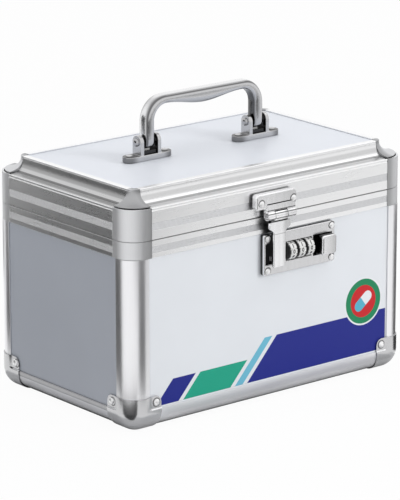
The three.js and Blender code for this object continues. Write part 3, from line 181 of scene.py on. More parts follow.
ARM_BACK, ARM_EDGE, ARM_CORNER, TAB_EDGE = 5.0, 0.45, 1.2, 0.3
STAPLE_LEFT, STAPLE_RIGHT, STAPLE_EDGE = -2.9, 3.3, 0.25
STAPLE_PROUD, STAPLE_REACH, STAPLE_FOOT, STAPLE_TOP = 6.0, 1.0, 101.2, 106.5
EYE_PROUD, EYE_REACH, EYE_FOOT, EYE_TOP = 2.0, 0.1, 102.2, 105.2

# Sizes of the handle and its brackets

LID_MIDDLE = CASE_MIDDLE[1]
HANDLE_HALF_SPAN = 49.0
HANDLE_PIVOT, HANDLE_TOP = 180.0, 211.5
HANDLE_DEPTH, HANDLE_LEG, HANDLE_BAR, HANDLE_BELLY, HANDLE_BEND = 10.2, 8.4, 6.8, 4.0, 14.5
HANDLE_TUCK = 88
HANDLE_ROUNDNESS = 2.7
HANDLE_SIDES = 48
BAR_HEIGHT = HANDLE_TOP - HANDLE_BAR / 2
BAR_UNDERSIDE = HANDLE_TOP - HANDLE_BAR - HANDLE_BELLY
BAR_STRAIGHT = HANDLE_HALF_SPAN - HANDLE_BEND
BEND_FOOT = BAR_HEIGHT - HANDLE_BEND
BRACKET_HALF, BRACKET_HALF_DEPTH, BRACKET_CORNER, BRACKET_EDGE = 20.0, 5.0, 4.6, 0.55
BRACKET_TOP = 171.3
SCREW_OFFSET, SCREW_RADIUS, SCREW_RISE = 15.4, 2.7, 0.8
EAR_INNER, EAR_OUTER, EAR_FOOT, EAR_HALF_DEPTH, EAR_EDGE = 5.9, 9.1, 169.2, 4.8, 0.5
SADDLE_HALF, SADDLE_HALF_DEPTH, SADDLE_FOOT, SADDLE_TOP, SADDLE_EDGE = 6.5, 3.4, 170.5, 174.0, 0.4
PIN_HALF, PIN_RADIUS, PIN_HEAD_RADIUS, PIN_HEAD_RISE = 9.3, 1.9, 2.9, 1.7

# Sizes of the rear hinges: heights are up or down from the seam

HINGE_OFFSET, HINGE_HALF, HINGE_KNUCKLE, HINGE_GAP = 70.0, 16.0, 5.25, 0.3
HINGE_AXIS, HINGE_RADIUS = 2.8, 2.6
LEAF_BACK, LEAF_FACE, LEAF_EDGE, LEAF_CLEARANCE = 0.2, 1.4, 0.2, 2.9
UPPER_LEAF, UPPER_RIVET, LOWER_LEAF, LOWER_RIVET = 14.0, 10.0, 10.6, 6.6
LEAF_RIVET_OFFSET, LEAF_RIVET_RADIUS, LEAF_RIVET_RISE = 12.0, 1.8, 0.7

# Meshes

def new_object(name, mesh):
    """An object at the origin, in the scene."""
    piece = bpy.data.objects.new(name, mesh)
    bpy.context.scene.collection.objects.link(piece)
    return piece


def smooth_with_creases(mesh, angle=40):
    """Smooth shading with creases where faces meet at more than the angle in degrees."""
    mesh.shade_smooth()
    mesh.set_sharp_from_angle(angle=math.radians(angle))


def grid_faces(rows, columns, wrap):
    """Quads between neighbouring rows of a grid of points; wrap joins the last column to the first."""
    last = columns if wrap else columns - 1
    r, c = np.meshgrid(np.arange(rows - 1), np.arange(last), indexing="ij")
    n = (c + 1) % columns
    quads = np.stack([r * columns + c, r * columns + n, (r + 1) * columns + n, (r + 1) * columns + c], -1)
    return quads.reshape(-1, 4).tolist()


def mesh_from(name, points_mm, faces):
    """A mesh of points in millimetres."""
    mesh = bpy.data.meshes.new(name)
    mesh.from_pydata((np.asarray(points_mm) * MM).reshape(-1, 3).tolist(), [], faces)
    mesh.validate()
    return mesh


def tidy(mesh, merge=1e-7):
    """Doubles merged and faces turned outwards."""
    work = bmesh.new()
    work.from_mesh(mesh)
    bmesh.ops.remove_doubles(work, verts=work.verts, dist=merge)
    bmesh.ops.recalc_face_normals(work, faces=work.faces)
    work.to_mesh(mesh)
    work.free()
    return mesh


def loft(name, rings, capped=True):
    """A closed outline carried through a row of places: rings is an array of rows x columns x 3."""
    rows, columns = rings.shape[:2]
    faces = grid_faces(rows, columns, True)
    if capped:
        faces.append(list(range(columns))[::-1])
        faces.append([(rows - 1) * columns + c for c in range(columns)])
    return tidy(mesh_from(name, rings, faces))


def held(points, distance=0.2):
    """A closed outline with a point more near both ends of each long stretch, so that flats shade flat."""
    points = np.asarray(points, float)
    stretch = np.roll(points, -1, 0) - points
    length = np.linalg.norm(stretch, axis=1)
    step = stretch * (distance / np.maximum(length, distance))[:, None]
    rows = np.stack([points, points + step, points + stretch - step], 1)
    long = length > 4 * distance
    return rows[np.stack([np.ones(len(points), bool), long, long], 1)]


def prism(name, outline, low, high, axis):
    """An outline of two coordinates carried straight along the third axis, 0, 1 or 2, from low to high."""
    outline = held(outline)
    rings = np.zeros((2, len(outline), 3))
    others = [a for a in range(3) if a != axis]
    rings[:, :, others[0]] = outline[:, 0]
    rings[:, :, others[1]] = outline[:, 1]
    rings[0, :, axis] = low
    rings[1, :, axis] = high
    return loft(name, rings)


def joined(name, meshes):
    """One mesh from several."""
    work = bmesh.new()
    for mesh in meshes:
        work.from_mesh(mesh)
        bpy.data.meshes.remove(mesh)
    result = bpy.data.meshes.new(name)
    work.to_mesh(result)
    work.free()
    return result


def placed(mesh, angle, move):
    """A mesh turned about Z by an angle and then moved, in millimetres."""
    mesh.transform(Matrix.Translation(Vector(move) * MM) @ Matrix.Rotation(angle, 4, "Z"))
    return mesh


def arc(centre, radius, start, end, steps):
    """Points on an arc between two angles in degrees."""
    angle = np.radians(np.linspace(start, end, steps + 1))
    return np.stack([centre[0] + radius * np.cos(angle), centre[1] + radius * np.sin(angle)], -1)


def rounded_rectangle(x0, x1, y0, y1, radius, steps=8):
    """Four quarter arcs in a row, from the lower right corner to the lower left."""
    return np.concatenate([
        arc((x1 - radius, y0 + radius), radius, -90, 0, steps),
        arc((x1 - radius, y1 - radius), radius, 0, 90, steps),
        arc((x0 + radius, y1 - radius), radius, 90, 180, steps),
        arc((x0 + radius, y0 + radius), radius, 180, 270, steps),
    ])


LATHE_SIDES = 40
RIVET_SINK = 0.2
RIVET_SKIRT_SHARE = 0.25


def lathe(name, profile, centre, axis):
    """A profile of radius and height turned about an axis: its ends lie on the axis."""
    profile = np.asarray(profile, float)
    angle = np.linspace(0, 2 * np.pi, LATHE_SIDES, endpoint=False)
    ring = np.stack([np.cos(angle), np.sin(angle)], -1)
    points = np.zeros((len(profile), LATHE_SIDES, 3))
    points[:, :, 0:2] = profile[:, None, 0:1] * ring[None]
    points[:, :, 2] = profile[:, None, 1]
    mesh = mesh_from(name, points, grid_faces(len(profile), LATHE_SIDES, True))
    turn = Vector((0, 0, 1)).rotation_difference(Vector(axis)).to_matrix().to_4x4()
    mesh.transform(Matrix.Translation(Vector(centre) * MM) @ turn)
    return tidy(mesh)


def rivet_head(name, centre, axis, radius, rise):
    """A low dome that springs from a short upright edge: a quarter ellipse turned about an axis."""
    angle = np.radians(np.linspace(0, 90, 10))
    skirt = RIVET_SKIRT_SHARE * rise
    crown = np.stack([radius * np.cos(angle), skirt + (rise - skirt) * np.sin(angle)], -1)
    profile = np.concatenate([[[0, -RIVET_SINK]], [[radius, -RIVET_SINK]], crown])
    profile[-1, 0] = 0
    return lathe(name, profile, centre, axis)


def hold_flats(mesh, axis, distance=0.15):
    """A narrow rim set in round the flat faces that look along an axis, so that they shade flat."""
    work = bmesh.new()
    work.from_mesh(mesh)
    flats = [face for face in work.faces if abs(face.normal[axis]) > 0.9999]
    bmesh.ops.inset_region(
        work, faces=flats, thickness=distance * MM, use_even_offset=True, use_boundary=True)
    work.to_mesh(mesh)
    work.free()
    return mesh


def bevelled(piece, width):
    """A live bevel on the edges that turn by more than 42 degrees."""
    modifier = piece.modifiers.new("edge", "BEVEL")
    modifier.width = width * MM
    modifier.segments = 2
    modifier.limit_method = "ANGLE"
    modifier.angle_limit = math.radians(42)
    modifier.harden_normals = True


def dress(name, mesh, body, finish, stands_for=(), bevel=0.0, crease=40):
    """A finished piece: shaded and bevelled, with its material, body and the nodes it stands for."""
    smooth_with_creases(mesh, crease)
    piece = new_object(name, mesh)
    if bevel:
        bevelled(piece, bevel)
    mesh.materials.clear()
    mesh.materials.append(finish.material)
    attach(piece, body)
    for node in stands_for:
        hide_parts(node)
    return piece


# Materials

class Value:
    """A number in a material: arithmetic on it adds Math nodes."""

    def __init__(self, finish, socket):
        self.finish = finish
        self.socket = socket

    def math(self, operation, first, second):
        return self.finish.add("ShaderNodeMath", {"operation": operation}, {0: first, 1: second})

    def __add__(self, other):
        return self.math("ADD", self, other)

    def __radd__(self, other):
        return self.math("ADD", other, self)

    def __sub__(self, other):
        return self.math("SUBTRACT", self, other)

    def __rsub__(self, other):
        return self.math("SUBTRACT", other, self)

    def __mul__(self, other):
        return self.math("MULTIPLY", self, other)

    def __rmul__(self, other):
        return self.math("MULTIPLY", other, self)

    def __truediv__(self, other):
        return self.math("DIVIDE", self, other)

    def greater(self, other):
        return self.math("MAXIMUM", self, other)

    def size(self):
        return self.math("ABSOLUTE", self, 0.0)

    def root(self):
        return self.math("SQRT", self, 0.0)

    def step(self, low, high):
        """0 below low and 1 above high, with a smooth way between them."""
        return self.finish.add(
            "ShaderNodeMapRange", {"interpolation_type": "SMOOTHSTEP"},
            {"Value": self, "From Min": low, "From Max": high}, "Result")


class Nodes:
    """A node tree that is emptied and filled anew."""

    def __init__(self, tree):
        self.tree = tree
        self.tree.nodes.clear()

    def feed(self, target, value):
        if isinstance(value, Value):
            self.tree.links.new(value.socket, target)
        else:
            target.default_value = value

    def add(self, kind, settings, inputs, output=0):
        """A node of a kind with its settings, and the values or links of its sockets; gives one output."""
        node = self.tree.nodes.new(kind)
        for name, setting in settings.items():
            setattr(node, name, setting)
        for name, value in inputs.items():
            self.feed(node.inputs[name], value)
        return Value(self, node.outputs[output])

    def seen_by(self, *rays):
        """1 for the named kinds of light ray, such as Camera, and 0 for the others."""
        share = self.add("ShaderNodeLightPath", {}, {}, f"Is {rays[0]} Ray")
        for ray in rays[1:]:
            share = share.greater(self.add("ShaderNodeLightPath", {}, {}, f"Is {ray} Ray"))
        return share


class Finish(Nodes):
    """A material on Object coordinates, in metres, that ends in one Principled shader."""

    def __init__(self, name, roughness, metallic=0.0):
        self.material = bpy.data.materials.new(name)
        self.material.use_nodes = True
        super().__init__(self.material.node_tree)
        self.shader = self.tree.nodes.new("ShaderNodeBsdfPrincipled")
        self.output = self.tree.nodes.new("ShaderNodeOutputMaterial")
        self.tree.links.new(self.shader.outputs[0], self.output.inputs[0])
        self.set("Roughness", roughness)
        self.set("Metallic", metallic)
        self.place = self.add("ShaderNodeTexCoord", {}, {}, "Object")

    def set(self, name, value):
        self.feed(self.shader.inputs[name], value)

    def cover(self, share, colour=(0.02, 0.02, 0.021, 1)):
        """Print, streaks, painted shade and painted highlights over the colour set so far, where share is
        above 0.
        """
        tone = Value(self, self.shader.inputs["Base Color"].links[0].from_socket)
        self.set("Base Color", self.mix(share, tone, colour))
        return self

    def axis(self, name):
        """One Object coordinate, X, Y or Z, in millimetres."""
        return self.add("ShaderNodeSeparateXYZ", {}, {0: self.place}, name) / MM

    def proud(self):
        """How far a place stands in front of the rim's face, in millimetres."""
        return CASE_FRONT - self.axis("Y")

    def noise(self, size, detail, stretch=(1, 1, 1), seed=0.0):
        """Clouds of about the given size in millimetres, longer along an axis with a stretch above 1."""
        moved = self.add(
            "ShaderNodeMapping", {},
            {0: self.place, "Location": (seed, 2 * seed, 3 * seed), "Scale": tuple(1 / s for s in stretch)})
        return self.add(
            "ShaderNodeTexNoise", {}, {"Vector": moved, "Scale": 1 / (size * MM), "Detail": detail}, "Fac")

    def mix(self, share, first, second):
        """A colour between two colours."""
        return self.add("ShaderNodeMix", {"data_type": "RGBA"}, {0: share, 6: first, 7: second}, 2)

    def bump(self, height, depth):
        """A relief whose height of 1 stands the given depth in millimetres above 0."""
        relief = {"Height": height, "Distance": depth * MM}
        self.set("Normal", self.add("ShaderNodeBump", {}, relief, "Normal"))


def length_of(first, second):
    """The length of a step with these two parts, which are at right angles."""
    return (first * first + second * second).root()


def stripe(value, low, high, soft=0.15):
    """1 between two places and 0 outside them."""
    return value.step(low - soft, low + soft) * (1 - value.step(high - soft, high + soft))


def shade(colour, factor):
    """A colour made lighter or darker, and never above 1."""
    return tuple(min(1.0, c * factor) for c in colour[:3]) + (1.0,)


# Boards

WHITE_BOARD = (0.82, 0.84, 0.87, 1)
GREY_BOARD = (0.545, 0.57, 0.625, 1)
TOP_BOARD = (0.90, 0.925, 0.98, 1)
LINING = (0.33, 0.34, 0.36, 1)
BAND_BLUE = (0.010, 0.018, 0.24, 1)
BAND_GREEN = (0.01, 0.37, 0.24, 1)
BAND_SKY = (0.16, 0.50, 0.66, 1)
BADGE_GREEN = (0.01, 0.24, 0.10, 1)
BADGE_SKY = (0.10, 0.46, 0.60, 1)
BADGE_RED = (0.60, 0.015, 0.02, 1)
PRINT_WHITE = (0.84, 0.86, 0.88, 1)

# Places of the print on the front board, in millimetres: a bar's start and end are along its foot at Z 0

PRINT_FOOT, PRINT_END, PRINT_SOFT, PRINT_DEPTH = 16.9, 107.2, 0.12, 1.0
BAR_LEAN, BAR_TOP, LOW_BAR_TOP = 0.9, 47, 34
BARS = (
    (-118, -98, LOW_BAR_TOP, BAND_BLUE),
    (-94, -52, LOW_BAR_TOP, BAND_GREEN),
    (-48, -41, BAR_TOP, BAND_SKY),
    (-37, 150, BAR_TOP, BAND_BLUE),
)
BADGE_X, BADGE_Z = 86.0, 56.0
BADGE_RINGS = ((17.6, PRINT_WHITE), (16.4, BADGE_GREEN), (11.8, BADGE_RED))
CAPSULE_HALF, CAPSULE_RADIUS, CAPSULE_SLANT = 5.0, 4.0, math.radians(38)


def board(name, colour, axis, place, sign):
    """A laminated board: a faint pebble, slow changes of tone and fine handling marks. Past a place along an
    axis, towards the sign, it has a grey lining."""
    finish = Finish(name, 0.4)
    cloud = finish.noise(38, 2)
    pebble = finish.noise(0.9, 2)
    weave = finish.noise(0.5, 2, seed=0.9)
    marks = finish.noise(2.2, 6, (14, 1, 1), 0.4).step(0.66, 0.74)
    lined = ((finish.axis(axis) - place) * sign).step(-0.2, 0.2)
    tone = finish.mix(cloud, shade(colour, 0.965), shade(colour, 1.02))
    tone = finish.mix(marks * 0.05, tone, shade(colour, 0.7))
    lining = finish.mix(weave, shade(LINING, 0.8), shade(LINING, 1.15))
    finish.set("Base Color", finish.mix(lined, tone, lining))
    finish.set("Roughness", 0.36 + cloud * 0.08 + marks * 0.08 + lined * 0.45)
    finish.set("Specular IOR Level", 0.3)
    finish.bump(pebble + marks * 0.3, 0.012)
    return finish


def printed_front():
    """The front board: white laminate with straight slanted bars along the foot, green, sky and blue from
    the left, and at the right a round badge with a slanted capsule."""
    finish = board("white_board_printed", WHITE_BOARD, "Y", CASE_FRONT + PANEL_INSET + BOARD_MIDDLE, 1)
    x = finish.axis("X")
    z = finish.axis("Z")
    outer = 1 - (finish.axis("Y") - (CASE_FRONT + PANEL_INSET + PRINT_DEPTH)).step(0, 0.2)
    outer = outer * z.step(PRINT_FOOT, PRINT_FOOT + 0.2) * (1 - x.size().step(PRINT_END, PRINT_END + 0.2))

    def past(value, place):
        return (value - place).step(-PRINT_SOFT, PRINT_SOFT) * outer

    lean = x - z * BAR_LEAN
    for start, end, top, colour in BARS:
        below = 1 - (z - top).step(-PRINT_SOFT, PRINT_SOFT)
        finish.cover(past(lean, start) * (1 - past(lean, end)) * below, colour)
    dx = x - BADGE_X
    dz = z - BADGE_Z
    for radius, colour in BADGE_RINGS:
        finish.cover((1 - past(length_of(dx, dz), radius)) * outer, colour)
    along = dx * math.cos(CAPSULE_SLANT) + dz * math.sin(CAPSULE_SLANT)
    across = dz * math.cos(CAPSULE_SLANT) - dx * math.sin(CAPSULE_SLANT)
    capsule = length_of((along.size() - CAPSULE_HALF).greater(0.0), across)
    halves = finish.mix(along.step(-PRINT_SOFT, PRINT_SOFT), BADGE_SKY, PRINT_WHITE)
    return finish.cover((1 - past(capsule, CAPSULE_RADIUS)) * outer, halves)


# Metals

ALUMINIUM = (0.92, 0.92, 0.94, 1)
BAND_METAL = (0.965, 0.968, 0.98, 1)
# Painted shade on the ribs, darker on the front and back than on the sides
LENGTHWISE_RIB_SHADE = (0.92, 0.925, 0.94, 1)
CROSSWISE_RIB_SHADE = (0.95, 0.955, 0.97, 1)
CASTING = (0.78, 0.785, 0.80, 1)
CHROME = (0.46, 0.46, 0.47, 1)
PLATE_CHROME = (0.67, 0.67, 0.68, 1)
BRIGHT_CHROME = (0.76, 0.76, 0.77, 1)
HASP_CHROME = (0.90, 0.90, 0.91, 1)
# The white of the painted highlights on the lock's and hasp's rims, the caps' steps and the handle's outer
# side; the rivet heads take it as their plating
RIM_LIGHT = (0.97, 0.97, 0.98, 1)
CAP_SHEET_METAL = (0.60, 0.60, 0.61, 1)
NICKEL = (0.58, 0.58, 0.59, 1)
STEEL = (0.45, 0.45, 0.46, 1)


def metal(name, colour, roughness, grain, grain_size=0.35, depth=0.004, spread=0.12):
    """A metal with fine drawn lines along an axis, slow smears, and a few darker specks."""
    finish = Finish(name, roughness, 1.0)
    stretch = {"X": (60, 1, 1), "Y": (1, 60, 1), "Z": (1, 1, 60), "none": (1, 1, 1)}[grain]
    lines = finish.noise(grain_size, 3, stretch)
    smear = finish.noise(16, 3, seed=0.7)
    specks = finish.noise(1.4, 4, seed=1.7).step(0.68, 0.76)
    tone = finish.mix(lines, shade(colour, 0.94), shade(colour, 1.05))
    finish.set("Base Color", finish.mix(specks * 0.11, tone, shade(colour, 0.55)))
    finish.set("Roughness", (roughness - spread / 2) + lines * spread * 0.7 + smear * spread * 0.6)
    finish.bump(lines, depth)
    return finish


def rail_metal(name, grain):
    """Satin aluminium with painted shade: dark near the floor and a little darker up to 15 mm. The crosswise
    rails also have painted shade at their foot, along their upper edge and in two fine lines there."""
    finish = metal(name, ALUMINIUM, 0.3, grain)
    height = finish.axis("Z")
    if grain == "Y":
        # Painted shade at the crosswise rails' foot and along their upper edge, with two fine painted dark
        # lines
        foot = (1 - height.step(3.8, 6.4)) * 0.88
        finish.cover((stripe(height, 12.2, 16.5, 0.6) * 0.5).greater(foot))
        for low, high in ((12.1, 12.6), (14.9, 15.4)):
            finish.cover(stripe(height, low, high) * 0.3)
    # Painted shade near the floor
    floor_shade = (1 - height.step(3.0, 5.2)) * 0.88
    return finish.cover(floor_shade.greater((1 - height.step(4, 15)) * 0.15))


def cove_share(finish):
    """1 on the cove between the band and the lip, and 0 elsewhere."""
    height = finish.axis("Z")
    return height.step(BAND_TOP, BAND_TOP + 1) * (1 - height.step(LIP_FOOT, LIP_FOOT + 0.5))


# Painted shade in the cove: the foot, the head and the softness of its upper half, lower half, foot and
# ledge, and the shares for the whole cove and for each of those
COVE_STRIPES = (
    (LIP_FOOT - 6.3, LIP_FOOT - 2.5, 1.2),
    (BAND_TOP + 1.0, BAND_TOP + 4.2, 0.6),
    (BAND_TOP + 0.45, BAND_TOP + 1.4, 0.12),
    (BAND_TOP - 0.15, BAND_TOP + 0.45, 0.05),
)
LENGTHWISE_SHADE_SHARES = (0.12, 0.34, 0.12, 0.57, 0.34)
CROSSWISE_SHADE_SHARES = (0.36, 0.62, 0.4, 0.8, 0.55)


def band_metal(name, grain, rib_shade, cove_shade_shares):
    """Ribbed aluminium with painted shade on the ribs and between them and in the cove above the band, a dark
    line along the seam and, on the front, a painted shadow behind the hasp's arm."""
    finish = metal(name, BAND_METAL, 0.27, grain, 0.35, 0.001)
    height = finish.axis("Z")
    for foot, (low, high) in ((RIM_LOW[2], RIM_STRIPE), (LID_LOW[2], LID_STRIPE)):
        ribs = stripe(height, foot + low, foot + high)
        # Painted shade on the ribs, darker still between them
        finish.cover(ribs, rib_shade)
        turn = (height - (foot + low)) * (2 * math.pi * RIB_COUNT / (high - low))
        finish.cover(ribs * (0.5 - turn.math("COSINE", turn, 0.0) * 0.5) * 0.4)
    finish.cover(stripe(height, SEAM - 0.5, SEAM + 0.5, 0.1) * 0.45)
    # Painted shade in the cove
    share = cove_share(finish) * cove_shade_shares[0]
    for (low, high, soft), place in zip(COVE_STRIPES, cove_shade_shares[1:]):
        share = share.greater(stripe(height, low, high, soft) * place)
    # Painted shadow under and beside the hasp's arm, on the front only
    aside = (finish.axis("X") - ARM_CENTRE).size()
    painted_arm_shadow = (1 - aside.step(5, 13)) * (1 - (finish.axis("Y") - CASE_FRONT).step(5, 10))
    return finish.cover(share.greater(painted_arm_shadow * stripe(height, 120, 139, 1.0) * 0.87))


def casting_metal(name):
    """Grey cast corners with painted shade: darker towards the ends of their legs, much more along X than
    along
    Y, and in the cove above the band, where the front left corner is the darkest."""
    finish = metal(name, CASTING, 0.5, "Z", 0.3, 0.005)
    # Painted shade towards the legs' ends and in the cove
    leg_shade_x = (CASE_SIZE[0] / 2 - finish.axis("X").size()).step(9, 18) * 0.48
    leg_shade_y = (CASE_SIZE[1] / 2 - finish.axis("Y").size()).step(9, 18) * 0.02
    from_left = finish.axis("X") - CASE_LEFT
    from_front = finish.axis("Y") - CASE_FRONT
    near = (1 - from_left.step(30, 60)) * (1 - from_front.step(30, 60))
    return finish.cover(leg_shade_x.greater(leg_shade_y).greater(cove_share(finish) * (near * 0.3 + 0.1)))


def cap_metal(name):
    """Plated cap sheet with a painted shadow ring round each rivet, a painted highlight along the step in its
    ears and painted shade at its foot.
    """
    finish = metal(name, CAP_SHEET_METAL, 0.18, "none", 0.8, 0.004, 0.08)
    height = finish.axis("Z")
    from_ends = [size / 2 - finish.axis(axis).size() for axis, size in zip("XY", CASE_SIZE)]
    along = from_ends[0].greater(from_ends[1])
    # Painted highlight along the step, white and hardly metallic
    line = stripe(height, CAP_STEP_HEIGHT - 0.3, CAP_STEP_HEIGHT + 0.5)
    line = line * along.step(CAP_STEP_START + 0.9, CAP_STEP_START + 1.9)
    finish.cover(line, RIM_LIGHT)
    finish.set("Metallic", 1 - line * 0.9)
    # Painted shadow rings round the rivets
    rings = []
    for from_end in from_ends:
        reach = length_of(from_end - (CAP_LEG - CAP_RIVET_INSET), height - (CAP_TOP - CAP_RIVET_INSET))
        ring = reach.step(CAP_RIVET_RADIUS - 0.3, CAP_RIVET_RADIUS)
        rings.append(ring * (1 - reach.step(CAP_RIVET_RADIUS + 0.4, CAP_RIVET_RADIUS + 1.1)))
    # Painted shade at the foot
    foot = 1 - height.step(0.2, 2.5)
    return finish.cover((rings[0].greater(rings[1]) * 0.75).greater(foot * 0.6))


def bracket_metal(name, middle):
    """Nickel with painted shade: near-black between the ears, and darker on the top round each screw and on
    the ends.
    """
    finish = metal(name, NICKEL, 0.2, "none", 0.8, 0.003, 0.08)
    aside = (finish.axis("X") - middle).size()
    height = finish.axis("Z")
    # Painted shade between the ears and over the saddle, on the base's top round the screws and on its ends
    gap = 1 - aside.step(EAR_INNER + 0.1, EAR_INNER + 0.5)
    gap = gap * height.step(BRACKET_TOP - 0.3, BRACKET_TOP - 0.05)
    reach = length_of(aside - SCREW_OFFSET, finish.axis("Y") - LID_MIDDLE)
    top = reach.step(SCREW_RADIUS - 0.3, SCREW_RADIUS + 0.1) * aside.step(EAR_OUTER + 0.3, EAR_OUTER + 0.7)
    top = top * height.step(BRACKET_TOP - 0.4, BRACKET_TOP - 0.1)
    ends = aside.step(EAR_OUTER + 0.5, BRACKET_HALF - 3)
    ends = ends * (1 - height.step(BRACKET_TOP - 0.7, BRACKET_TOP - 0.3))
    return finish.cover((gap * 0.95).greater(top * 0.85).greater(ends * 0.62))


def handle_metal():
    """Nickel with a painted highlight round its outer side, painted shade under the bar's belly and on the
    legs' inner sides, and a painted dark reflection along a soft line that follows its outer edge, front and
    back."""
    finish = metal("nickel_plated_handle", NICKEL, 0.2, "none", 0.8, 0.003, 0.08)
    x = finish.axis("X")
    z = finish.axis("Z")
    belly = z - BAR_UNDERSIDE - x * x * (HANDLE_BELLY / BAR_STRAIGHT ** 2)
    bar = 1 - x.size().step(33, 38)
    aside = (x.size() - BAR_STRAIGHT).greater(0.0)
    above = (z - BEND_FOOT).greater(0.0)
    outward = length_of(aside, above) - HANDLE_BEND
    edge = outward + (1 - x.size().step(34, 48)) * (HANDLE_LEG - HANDLE_BAR) / 2
    # Painted highlight round the outer side
    finish.cover(edge.step(3.6, 4.0) * 0.65, RIM_LIGHT)
    # Painted dark reflection along the outer edge
    line = stripe(edge, 2.3, 3.5, 0.45)
    # Painted shade on the legs' inner sides and under the bar's belly
    inner = (1 - outward.step(-3.8, -2.2)) * (1 - bar)
    rim = (1 - outward.step(-3.7, -2.9)) * (1 - bar)
    under = (1 - belly.step(0.3, 3.2)) * bar * 0.58
    return finish.cover(under.greater(line * 0.75).greater(inner * 0.58).greater(rim * 0.8))


def rivet_metal(name, face):
    """Bright plated rivet heads with a painted shadow ring at their foot, on a face these millimetres proud.
    """
    finish = metal(name, RIM_LIGHT, 0.42, "none", 0.5, 0.003, 0.1)
    # Painted shadow ring at the foot
    return finish.cover((1 - finish.proud().step(face + 0.25, face + 0.55)) * 0.92)


def lock_metal(name, colour, face, rim, foot, head, share=0.9, rivets=()):
    """Satin plated zinc with a painted highlight on its rims and painted shade on its sides: dark up to foot
    and free of it from head. These and the face's place are millimetres in front of the rim; the rim is as
    wide as given. Each rivet, a place in X and Z, has a painted shadow ring that is widest at its upper
    right."""
    finish = metal(name, colour, 0.2, "Z", 0.5, 0.003, 0.1)
    proud = finish.proud()
    streaks = finish.noise(3.5, 3, (1, 1, 30), 0.2).step(0.35, 0.75)
    finish.cover(streaks * 0.05)
    # Painted highlight along the rims
    finish.cover(stripe(proud, face - rim, face - 0.15, 0.1) * 0.9, RIM_LIGHT)
    # Painted shadow rings round the rivets
    for x, z in rivets:
        reach = length_of(finish.axis("X") - (x + 0.4), finish.axis("Z") - (z + 0.25))
        finish.cover((1 - reach.step(PLATE_RIVET_RADIUS + 0.2, PLATE_RIVET_RADIUS + 0.7)) * 0.75)
    # Painted shade on the sides
    return finish.cover((1 - proud.step(foot, head)) * share)


def slide_bolt_metal():
    """The lock's metal, darker towards the button's right end."""
    finish = lock_metal(
        "slide_bolt_metal", BRIGHT_CHROME, BUTTON_FACE, rim=0.9, foot=6.6, head=7.5, share=0.97)
    return finish.cover(finish.axis("X").step(BUTTON_LEFT + 1.4, BUTTON_RIGHT + 2.6) * 0.35)


def barrel_lines(height):
    """Painted shade: two dark lines along the hasp's barrels, above and below the middle of their front."""
    upper = stripe(height, HASP_AXIS_HEIGHT + 1.4, HASP_AXIS_HEIGHT + 2.0, 0.12) * 0.75
    return upper.greater(stripe(height, HASP_AXIS_HEIGHT - 2.1, HASP_AXIS_HEIGHT - 1.5, 0.12) * 0.85)


def hasp_plate_metal():
    """The lock's metal with painted shade in the neck's folds, on the barrels and growing towards the right.
    """
    finish = lock_metal(
        "hasp_plate_metal", HASP_CHROME, HASP_PLATE_FACE, rim=1.4, foot=1.2, head=2.8, rivets=HASP_RIVETS)
    height = finish.axis("Z")
    along = finish.axis("X")
    neck = stripe(along, BARREL_LEFT, BARREL_RIGHT)
    # Painted shade in the neck's folds and towards the right
    folds = (stripe(height, NECK_TOP - 0.1, NECK_TOP + 0.6) * neck).greater(
        stripe(height, NECK_FOOT + 0.3, NECK_FOOT + 0.9) * neck)
    finish.cover(barrel_lines(height))
    return finish.cover(folds.greater(along.step(-14, 15) * 0.16))


def hasp_arm_metal():
    """The lock's metal with painted shade on its sides and back, above the knuckle, under the head and below
    the waist, and growing towards the right."""
    finish = lock_metal("hasp_arm_metal", HASP_CHROME, HASP_FACE, rim=0.9, foot=2.3, head=4.9, share=0.0)
    height = finish.axis("Z")
    tab = height.step(ARM_TOP - 0.1, ARM_TOP + 0.2)
    # Painted shade on the sides and behind
    sides = stripe(finish.proud(), ARM_BACK + 0.15, ARM_BACK + 0.9, 0.1) * (1 - tab)
    under = (1 - finish.proud().step(ARM_BACK - 1.4, ARM_BACK)) * tab
    finish.cover((sides * 0.9).greater(under * 0.5).greater(barrel_lines(height)))
    # Painted shade above the knuckle, towards the right, under the head and below the waist
    finish.cover(height.step(HASP_AXIS_HEIGHT + 2.6, HASP_AXIS_HEIGHT + 2.9) * 0.9)
    finish.cover((finish.axis("X") - ARM_CENTRE).step(1.5, 5.6) * 0.3)
    head_line = stripe(height, ARM_HEAD_TOP + 0.1, ARM_TOP - 0.1) * 0.9
    return finish.cover(head_line.greater(stripe(height, ARM_WAIST_FOOT - 0.4, ARM_WAIST_FOOT + 0.2) * 0.3))


# Plastics

def dark_insert():
    """Black moulded plastic with a fine matt grain for the numbers and the lock's cover; on the sheet behind
    the lock's plate it is painted shade.
    """
    finish = Finish("black_plastic_and_painted_shade", 0.6)
    grain = finish.noise(0.25, 2)
    finish.set("Base Color", finish.mix(grain, (0.004, 0.004, 0.005, 1), (0.012, 0.012, 0.013, 1)))
    finish.set("Roughness", 0.5 + grain * 0.2)
    finish.bump(grain, 0.01)
    return finish


def dial_plastic():
    """Pale plated faces with a little dirt here and there, and painted shade on their sides."""
    finish = Finish("dial_face", 0.3, 0.55)
    grain = finish.noise(0.5, 3)
    dirt = finish.noise(1.6, 4, seed=0.3).step(0.5, 0.75)
    tone = finish.mix(grain, (0.80, 0.80, 0.79, 1), (0.90, 0.90, 0.89, 1))
    finish.set("Base Color", finish.mix(dirt * 0.35, tone, (0.35, 0.34, 0.33, 1)))
    finish.set("Roughness", 0.24 + grain * 0.14)
    finish.bump(grain, 0.005)
    # Painted shade on the wheels' sides
    shift = finish.axis("X") - DIAL_STARTS[0]
    across = shift.math("MODULO", shift, DIAL_STARTS[1] - DIAL_STARTS[0])
    sides = (1 - across.step(0.5, 0.9)).greater(across.step(DIAL_WIDTH - 0.9, DIAL_WIDTH - 0.5))
    return finish.cover(sides * 0.9)


# Frame sections

